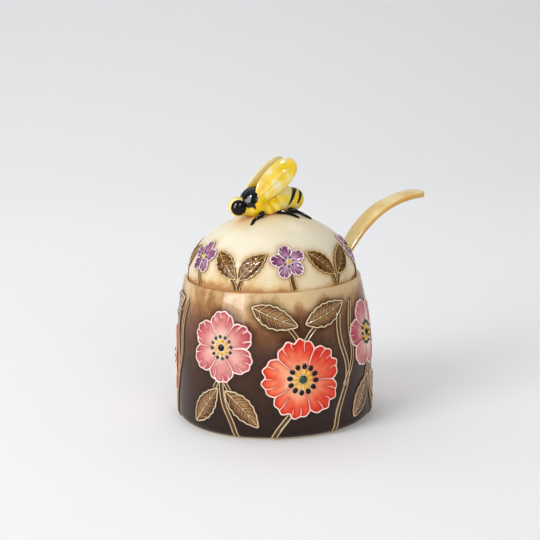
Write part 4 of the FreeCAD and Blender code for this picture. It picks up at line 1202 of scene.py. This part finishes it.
lap = np.linspace(0, FULL_TURN, SECTION, endpoint=False)
side_share, face_share = squared(np.cos(lap), SECTION_ROUND), squared(np.sin(lap), SECTION_ROUND)
hollow = np.clip(1 - (side_share / HOLLOW_SHARE) ** 2, 0, 1)
roundness = BELLY_SHARE * np.sqrt(np.clip(1 - side_share**2, 0, 1))
rim_share = AMBER * rising(np.abs(side_share) - AMBER_START, 1 - AMBER_START)
spoon_rings, spoon_edge = [], []
for station in stations:
    middle, up = spoon_line(station)
    from_middle = (station - bowl_middle) / (BOWL_LENGTH / 2)
    bowl = math.sqrt(max(1 - from_middle**2, 0.0))
    past = max(station - shank_end, 0.0) / TIP_LENGTH
    round_end = max(1 - past**TIP_SQUARE, 0.0) ** (1 / TIP_SQUARE)
    handle = rising(from_middle - NECK_START, 1 - NECK_START)
    flare = np.interp(station, (FLARE_START, FLARE_FULL, shank_end), (1.0, FLARE, FLARE_END))
    wide = max(BOWL_WIDTH / 2 * bowl, HANDLE_WIDTH / 2 * flare * handle * round_end, LEAST_HALF)
    thick = HANDLE_THICK / 2 * np.interp(station, (FLARE_FULL, shank_end), (1.0, END_THICK))
    thick *= TIP_THIN + (1 - TIP_THIN) * round_end
    dish = (BOWL_DEPTH - BOWL_WALL) * bowl**1.5 * (1 - handle)
    belly = BOWL_DEPTH * bowl * (1 - handle)
    lift = thick * face_share - np.where(face_share >= 0, dish * hollow, belly * roundness)
    spoon_rings.append(middle + np.outer(side_share * wide, (0, 1, 0)) + np.outer(lift, up))
    spoon_edge.append(np.maximum(rim_share, past**2))

# Cream glaze that turns honey amber along the edges.
honey_edged = clouded_glaze("honey_edged_cream_glaze", 14.0, [
    (0.3, "#DDBA72"), (0.5, "#EAD296"), (0.72, "#F1E2B6")], [("edge", 1.0, "#D39A3C")], detail=4.0)
spoon_part = (*skin(spoon_rings), {"edge": np.concatenate(spoon_edge)})
make_piece("pressed_spoon", spoon_part, honey_edged, "spoon", "spoon_glaze", "spoon")

# %% [markdown]
# ## The bee
#
# The bee was modelled by hand from balls of clay pressed together. Blender can do the same: overlapping
# balls go through a voxel Remesh, which melts them into one skin, and a few rounds of smoothing rub out
# the seams. Rows of smaller balls make the folds below the wings. The markings are brush strokes, so they
# are masks worked out from where a point lies on the bee: along its length and round its back.

# %% Bee's body
HEAD = ((-17.4, 0.0, 3.8), 4.6)
THORAX = ((-8.2, 0.0, 5.1), 7.35)
WAIST = ((-2.6, 0.0, 4.6), 6.3)
COLLAR = ((-3.0, 0.0, 0.7), (12.5, 6.0, 2.0))
ABDOMEN = ((3.2, 0.0, 5.4), (11.8, 0.0, 4.5), 7.0, 5.5)
FOLDS = [((-5.8, 4.4, 5.4), (-3.6, 5.4, 1.4), 2.2), ((-1.6, 4.6, 5.6), (0.9, 5.3, 1.8), 2.4)]
VOXEL, RUB_SHARE, RUB_ROUNDS = 0.28, 0.5, 26
BACK_LEVEL, BACK_DEPTH, BEE_HALF = APEX_HEIGHT + 5.2, 3.0, 7.0
GROOVES, GROOVE_DEEP, GROOVE_HALF, GROOVE_SLANT, GROOVE_START = [10.4, 15.0], 0.22, 0.5, 3.0, 3.0
SADDLE_FRONT, SADDLE_BACK, SADDLE_SLANT, SADDLE_DOWN = -15.2, -7.4, 3.2, 112.0
BANDS, BAND_DOWN = [(12.9, 5.2, 1.7), (16.3, 3.6, 1.5)], 116.0
PALE_FACE, PALE_FLANK, PALE_REACH = -17.6, 8.5, 5.0
BRUSH_EDGE, BRUSH_LIFT, BEE_POOL = 0.25, 5.0, 1.4


def clay_ball(centre, radii):
    """Ball of clay, or an egg of three radii, at a place above the top of the dome."""
    unit = ball(25, 40)
    at = np.array(centre) + (0, 0, APEX_HEIGHT)
    return (at + unit * np.asarray(radii)).reshape(-1, 3), grid(*unit.shape[:2]), {}


def clay_roll(start, end, start_radius, end_radius, count=6):
    """Row of overlapping balls from one place to another."""
    shares = np.linspace(0, 1, count)
    return [clay_ball(np.array(start) * (1 - share) + np.array(end) * share,
                      start_radius * (1 - share) + end_radius * share) for share in shares]


clay = [clay_ball(*HEAD), clay_ball(*THORAX), clay_ball(*WAIST), clay_ball(*COLLAR), *clay_roll(*ABDOMEN)]
for (start, end, radius), side in itertools.product(FOLDS, (1, -1)):
    clay += clay_roll(np.multiply(start, (1, side, 1)), np.multiply(end, (1, side, 1)), radius, radius)
figure = clay_object("bee_clay", *gather(clay)[:2])
melt = figure.modifiers.new("melt", "REMESH")
melt.mode, melt.voxel_size = "VOXEL", VOXEL * MM
rub = figure.modifiers.new("rub", "SMOOTH")
rub.factor, rub.iterations = RUB_SHARE, RUB_ROUNDS
bee_points, bee_faces = result_of(figure)

x, y, z = bee_points.T
round_back = np.degrees(np.arctan2(np.abs(y), z - BACK_LEVEL))
down_side = round_back / 90
for groove in GROOVES:
    off_groove = (x - groove + down_side * GROOVE_SLANT) / GROOVE_HALF
    way_in = GROOVE_DEEP * np.exp(-(off_groove**2)) * (x > GROOVE_START)
    bee_points[:, 1] *= 1 - way_in / BEE_HALF
    bee_points[:, 2] -= way_in * np.sign(z - BACK_LEVEL) * (z > BACK_LEVEL - BACK_DEPTH)

ragged = 0.35 * np.sin(z * 1.1) + 0.15 * np.sin(z * 2.7 + y)
saddle_back = SADDLE_BACK - SADDLE_SLANT * np.clip(round_back / 75, 0, 1.2) + ragged
saddle = rising(saddle_back - x + BRUSH_EDGE, 2 * BRUSH_EDGE)
saddle *= rising(x - SADDLE_FRONT + 0.02 * round_back, 0.3)
saddle *= rising(SADDLE_DOWN + 4 * np.sin(x * 2.1) - round_back, BRUSH_LIFT)
black = saddle
for top, shift, half in BANDS:
    lower = np.clip(down_side, 0, 1.4)
    slim = half * np.clip(1.0 - 0.5 * lower, 0.2, 1)
    from_line = np.abs(x - top + shift * lower**1.2)
    band = rising(slim - from_line + BRUSH_EDGE / 2, BRUSH_EDGE)
    black = np.maximum(black, band * rising(BAND_DOWN - round_back, BRUSH_LIFT))
flank = np.clip(1 - np.abs(x - PALE_FLANK) / PALE_REACH, 0, 1) * np.clip(down_side, 0, 1)
bee_marks = {
    "black": black,
    "pale": rising(PALE_FACE - x, 2.0) + 0.6 * flank,
    "pool": fade(z - crown_level(x, y), BEE_POOL),
}

# Strong yellow over cream, amber where it has run down, with brushed black markings.
brushed_yellow = clouded_glaze("brushed_yellow_glaze", 7.0, [
    (0.3, "#EDB40A"), (0.44, "#F7CF14"), (0.54, "#F5DC5C"), (0.62, "#F3E29A")],
    [("pool", 1.0, "#D98F0C"), ("black", 1.0, "#0A0908")], ("pale", 0.2))
make_piece("bee_figure", (bee_points, bee_faces, bee_marks), brushed_yellow, "lid", "bee_yellow", "bee_body")

# %% [markdown]
# ## Eyes, legs and wings
#
# The eyes are glossy black beads set into the sides of the head. The legs are tapering rolls of clay laid
# down from a knee to the dome, and the far front leg is tucked in. A wing is a thick egg-shaped leaf of
# clay: its rim is rounded, its face is slightly hollow, and a few veins stand out on it.

# %% Eyes and legs
EYES = [(-72.0, 1.45, 3.85), (85.0, 1.0, 3.75)]
LEGS = [
    [(-7.4, 6.0, 2.2), (-8.6, 7.0, 1.6), (-11.4, 6.8, 0.6), (-13.2, 7.1, 0.4), (-14.4, 8.4, 0.3),
     (-15.8, 9.2, 0.1)],
    [(-0.6, 5.6, 1.2), (2.0, 7.4, 1.2), (5.2, 9.8, 0.8), (7.9, 12.7, 0.1)],
    [(6.2, 5.4, 1.6), (9.6, 7.0, 1.5), (13.2, 8.8, 0.8), (15.3, 11.2, 0.1)],
]
LEG_RADII = [1.2, 1.25, 0.78, 0.7, 0.7, 0.65]
LEG_STEP, LEG_COLUMNS, FAR_TUCK = 0.3, 16, 0.72


def roll(route, radii):
    """Tapering roll of clay with round ends, along a route in space."""
    line = resample(soften(route), LEG_STEP)
    reach = np.linspace(0, 1, len(line))
    radius = np.interp(reach, np.linspace(0, 1, len(radii)), radii)
    from_end = np.minimum(reach, 1 - reach) * LEG_STEP * (len(line) - 1)
    radius = radius * np.sqrt(np.clip(1 - (1 - np.clip(from_end / radius, 0, 1)) ** 2, 0.02, 1))
    way = np.gradient(line, axis=0)
    way /= np.linalg.norm(way, axis=1)[:, None]
    aside = np.cross(way, (0, 0, 1.0))
    aside /= np.linalg.norm(aside, axis=1)[:, None]
    over = np.cross(aside, way)
    around = np.linspace(0, FULL_TURN, LEG_COLUMNS, endpoint=False)[None, :, None]
    ring = np.cos(around) * aside[:, None] + np.sin(around) * over[:, None]
    return skin(line[:, None] + ring * radius[:, None, None])


eyes, legs = [], []
for turn, seat, radius in EYES:
    way = np.array([-math.cos(math.radians(turn)), math.sin(math.radians(turn)), 0.0])
    eyes.append(clay_ball(np.array(HEAD[0]) + way * seat, radius))
for side, route in itertools.product((-1, 1), LEGS):
    tuck = FAR_TUCK if side > 0 and route is LEGS[0] else 1.0
    laid = [(x * tuck, side * y, crown_level(x * tuck, y) + lift) for x, y, lift in route]
    legs.append((*roll(laid, LEG_RADII), {}))
make_piece("bee_eye_beads", gather(eyes), DROP_GLAZES["black"], "lid", "bee_black", "bee_eyes")
make_piece("bee_leg_rolls", gather(legs), DROP_GLAZES["black"], "lid", "bee_black", "bee_legs")

# %% Wings
WING_LENGTH, WING_WIDTH, WING_THICK = 12.5, 6.2, 1.5
WING_CENTRE = (0.3, 5.3, 15.6)
WING_RISE, WING_ROOF = math.radians(37.0), math.radians(20.0)
WING_POINTS, WING_ROWS, WING_CROWDED = 160, 30, 0.85
WING_FACE, RIM_HIGH, RIM_AT, RIM_HALF = 0.85, 0.12, 0.86, 0.1
WING_VEINS = [
    [(-12, 2.6), (-6, 3.6), (2, 4.3), (9, 3.2)],
    [(-11, 0.0), (-3, -0.4), (3, 0.4), (7, -0.8)],
    [(-9, -1.4), (-3, -3.2), (2, -3.4)],
]
VEIN_HALF, VEIN_HIGH, VEIN_STEP, VEIN_POOL = 0.8, 0.12, 0.2, 0.7


def both_faces(rows, back=1):
    """Rows of a wing's front face from its middle to the rim, then those of its back face."""
    return np.concatenate([rows, back * rows[-2::-1]])


def wing(side):
    """One wing: an egg-shaped lens with veins on both faces."""
    angle = np.linspace(0, FULL_TURN, WING_POINTS, endpoint=False)
    toward_tip, upward = squared(np.cos(angle), 0.88), squared(np.sin(angle), 0.92)
    outline = np.column_stack([WING_LENGTH * toward_tip, WING_WIDTH * upward * (0.94 + 0.06 * toward_tip)])
    share = np.concatenate([np.linspace(0, WING_CROWDED, WING_ROWS // 2, endpoint=False),
                            np.linspace(WING_CROWDED, 1, WING_ROWS // 2)])[:, None]
    flat = share[..., None] * outline
    lines = np.vstack([resample(soften(vein), VEIN_STEP) for vein in WING_VEINS])
    distance = nearest(flat.reshape(-1, 2), lines)[1].reshape(flat.shape[:2])
    vein = bead(distance, VEIN_HALF)
    rim = np.exp(-(((share - RIM_AT) / RIM_HALF) ** 2))
    thick = WING_THICK * np.sqrt(np.clip(1 - share**2, 0, 1))
    lift = both_faces(thick * (WING_FACE + RIM_HIGH * rim) + VEIN_HIGH * vein * (1 - share**4), -1)
    rows = both_faces(flat)
    along = np.array([math.cos(WING_RISE), 0.0, math.sin(WING_RISE)])
    upright = np.array([-math.sin(WING_RISE), 0.0, math.cos(WING_RISE)])
    aside = np.array([0.0, side, 0.0])
    outward = aside * math.cos(WING_ROOF) + upright * math.sin(WING_ROOF)
    across = upright * math.cos(WING_ROOF) - aside * math.sin(WING_ROOF)
    centre = np.array([WING_CENTRE[0], side * WING_CENTRE[1], APEX_HEIGHT + WING_CENTRE[2]])
    points = centre + rows[..., :1] * along + rows[..., 1:] * across + lift[..., None] * outward
    marks = {
        "pool": fade(both_faces(distance) - VEIN_HALF, VEIN_POOL).ravel(),
        "root": np.clip(-rows[..., 0] / WING_LENGTH, 0, 1).ravel(),
        "bare": both_faces(np.maximum(vein, share**6)).ravel(),
    }
    return points.reshape(-1, 3), grid(*rows.shape[:2]), marks


# Clear yellow washed over cream: pale on the veins and rim, amber beside them and at the root. The right
# wing's shades start sooner, so it is painted paler: painted light that lifts the far wing out of the near
# wing's shade.
WING_WASHES = [(0.2, "#EBB006"), (0.38, "#F5C90A"), (0.52, "#F8D828"), (0.555, "#F5E080"), (0.6, "#F3E7B4")]
WING_PAINTS = [("pool", 0.15, "#E0A010"), ("bare", 0.35, "#F6E8A8")]
for name, side, painted_lift in (("left", -1, 0.0), ("right", 1, 0.2)):
    # Painted light: for the far wing the shades start sooner, which brightens it where the near wing shades
    # it.
    washes = [(place - painted_lift, code) for place, code in WING_WASHES]
    washed_yellow = clouded_glaze(f"washed_yellow_glaze_{name}", 6.0, washes, WING_PAINTS, ("root", -0.15))
    make_piece(f"bee_{name}_wing", wing(side), washed_yellow, "lid", "bee_wing", f"bee_wing_{name}")
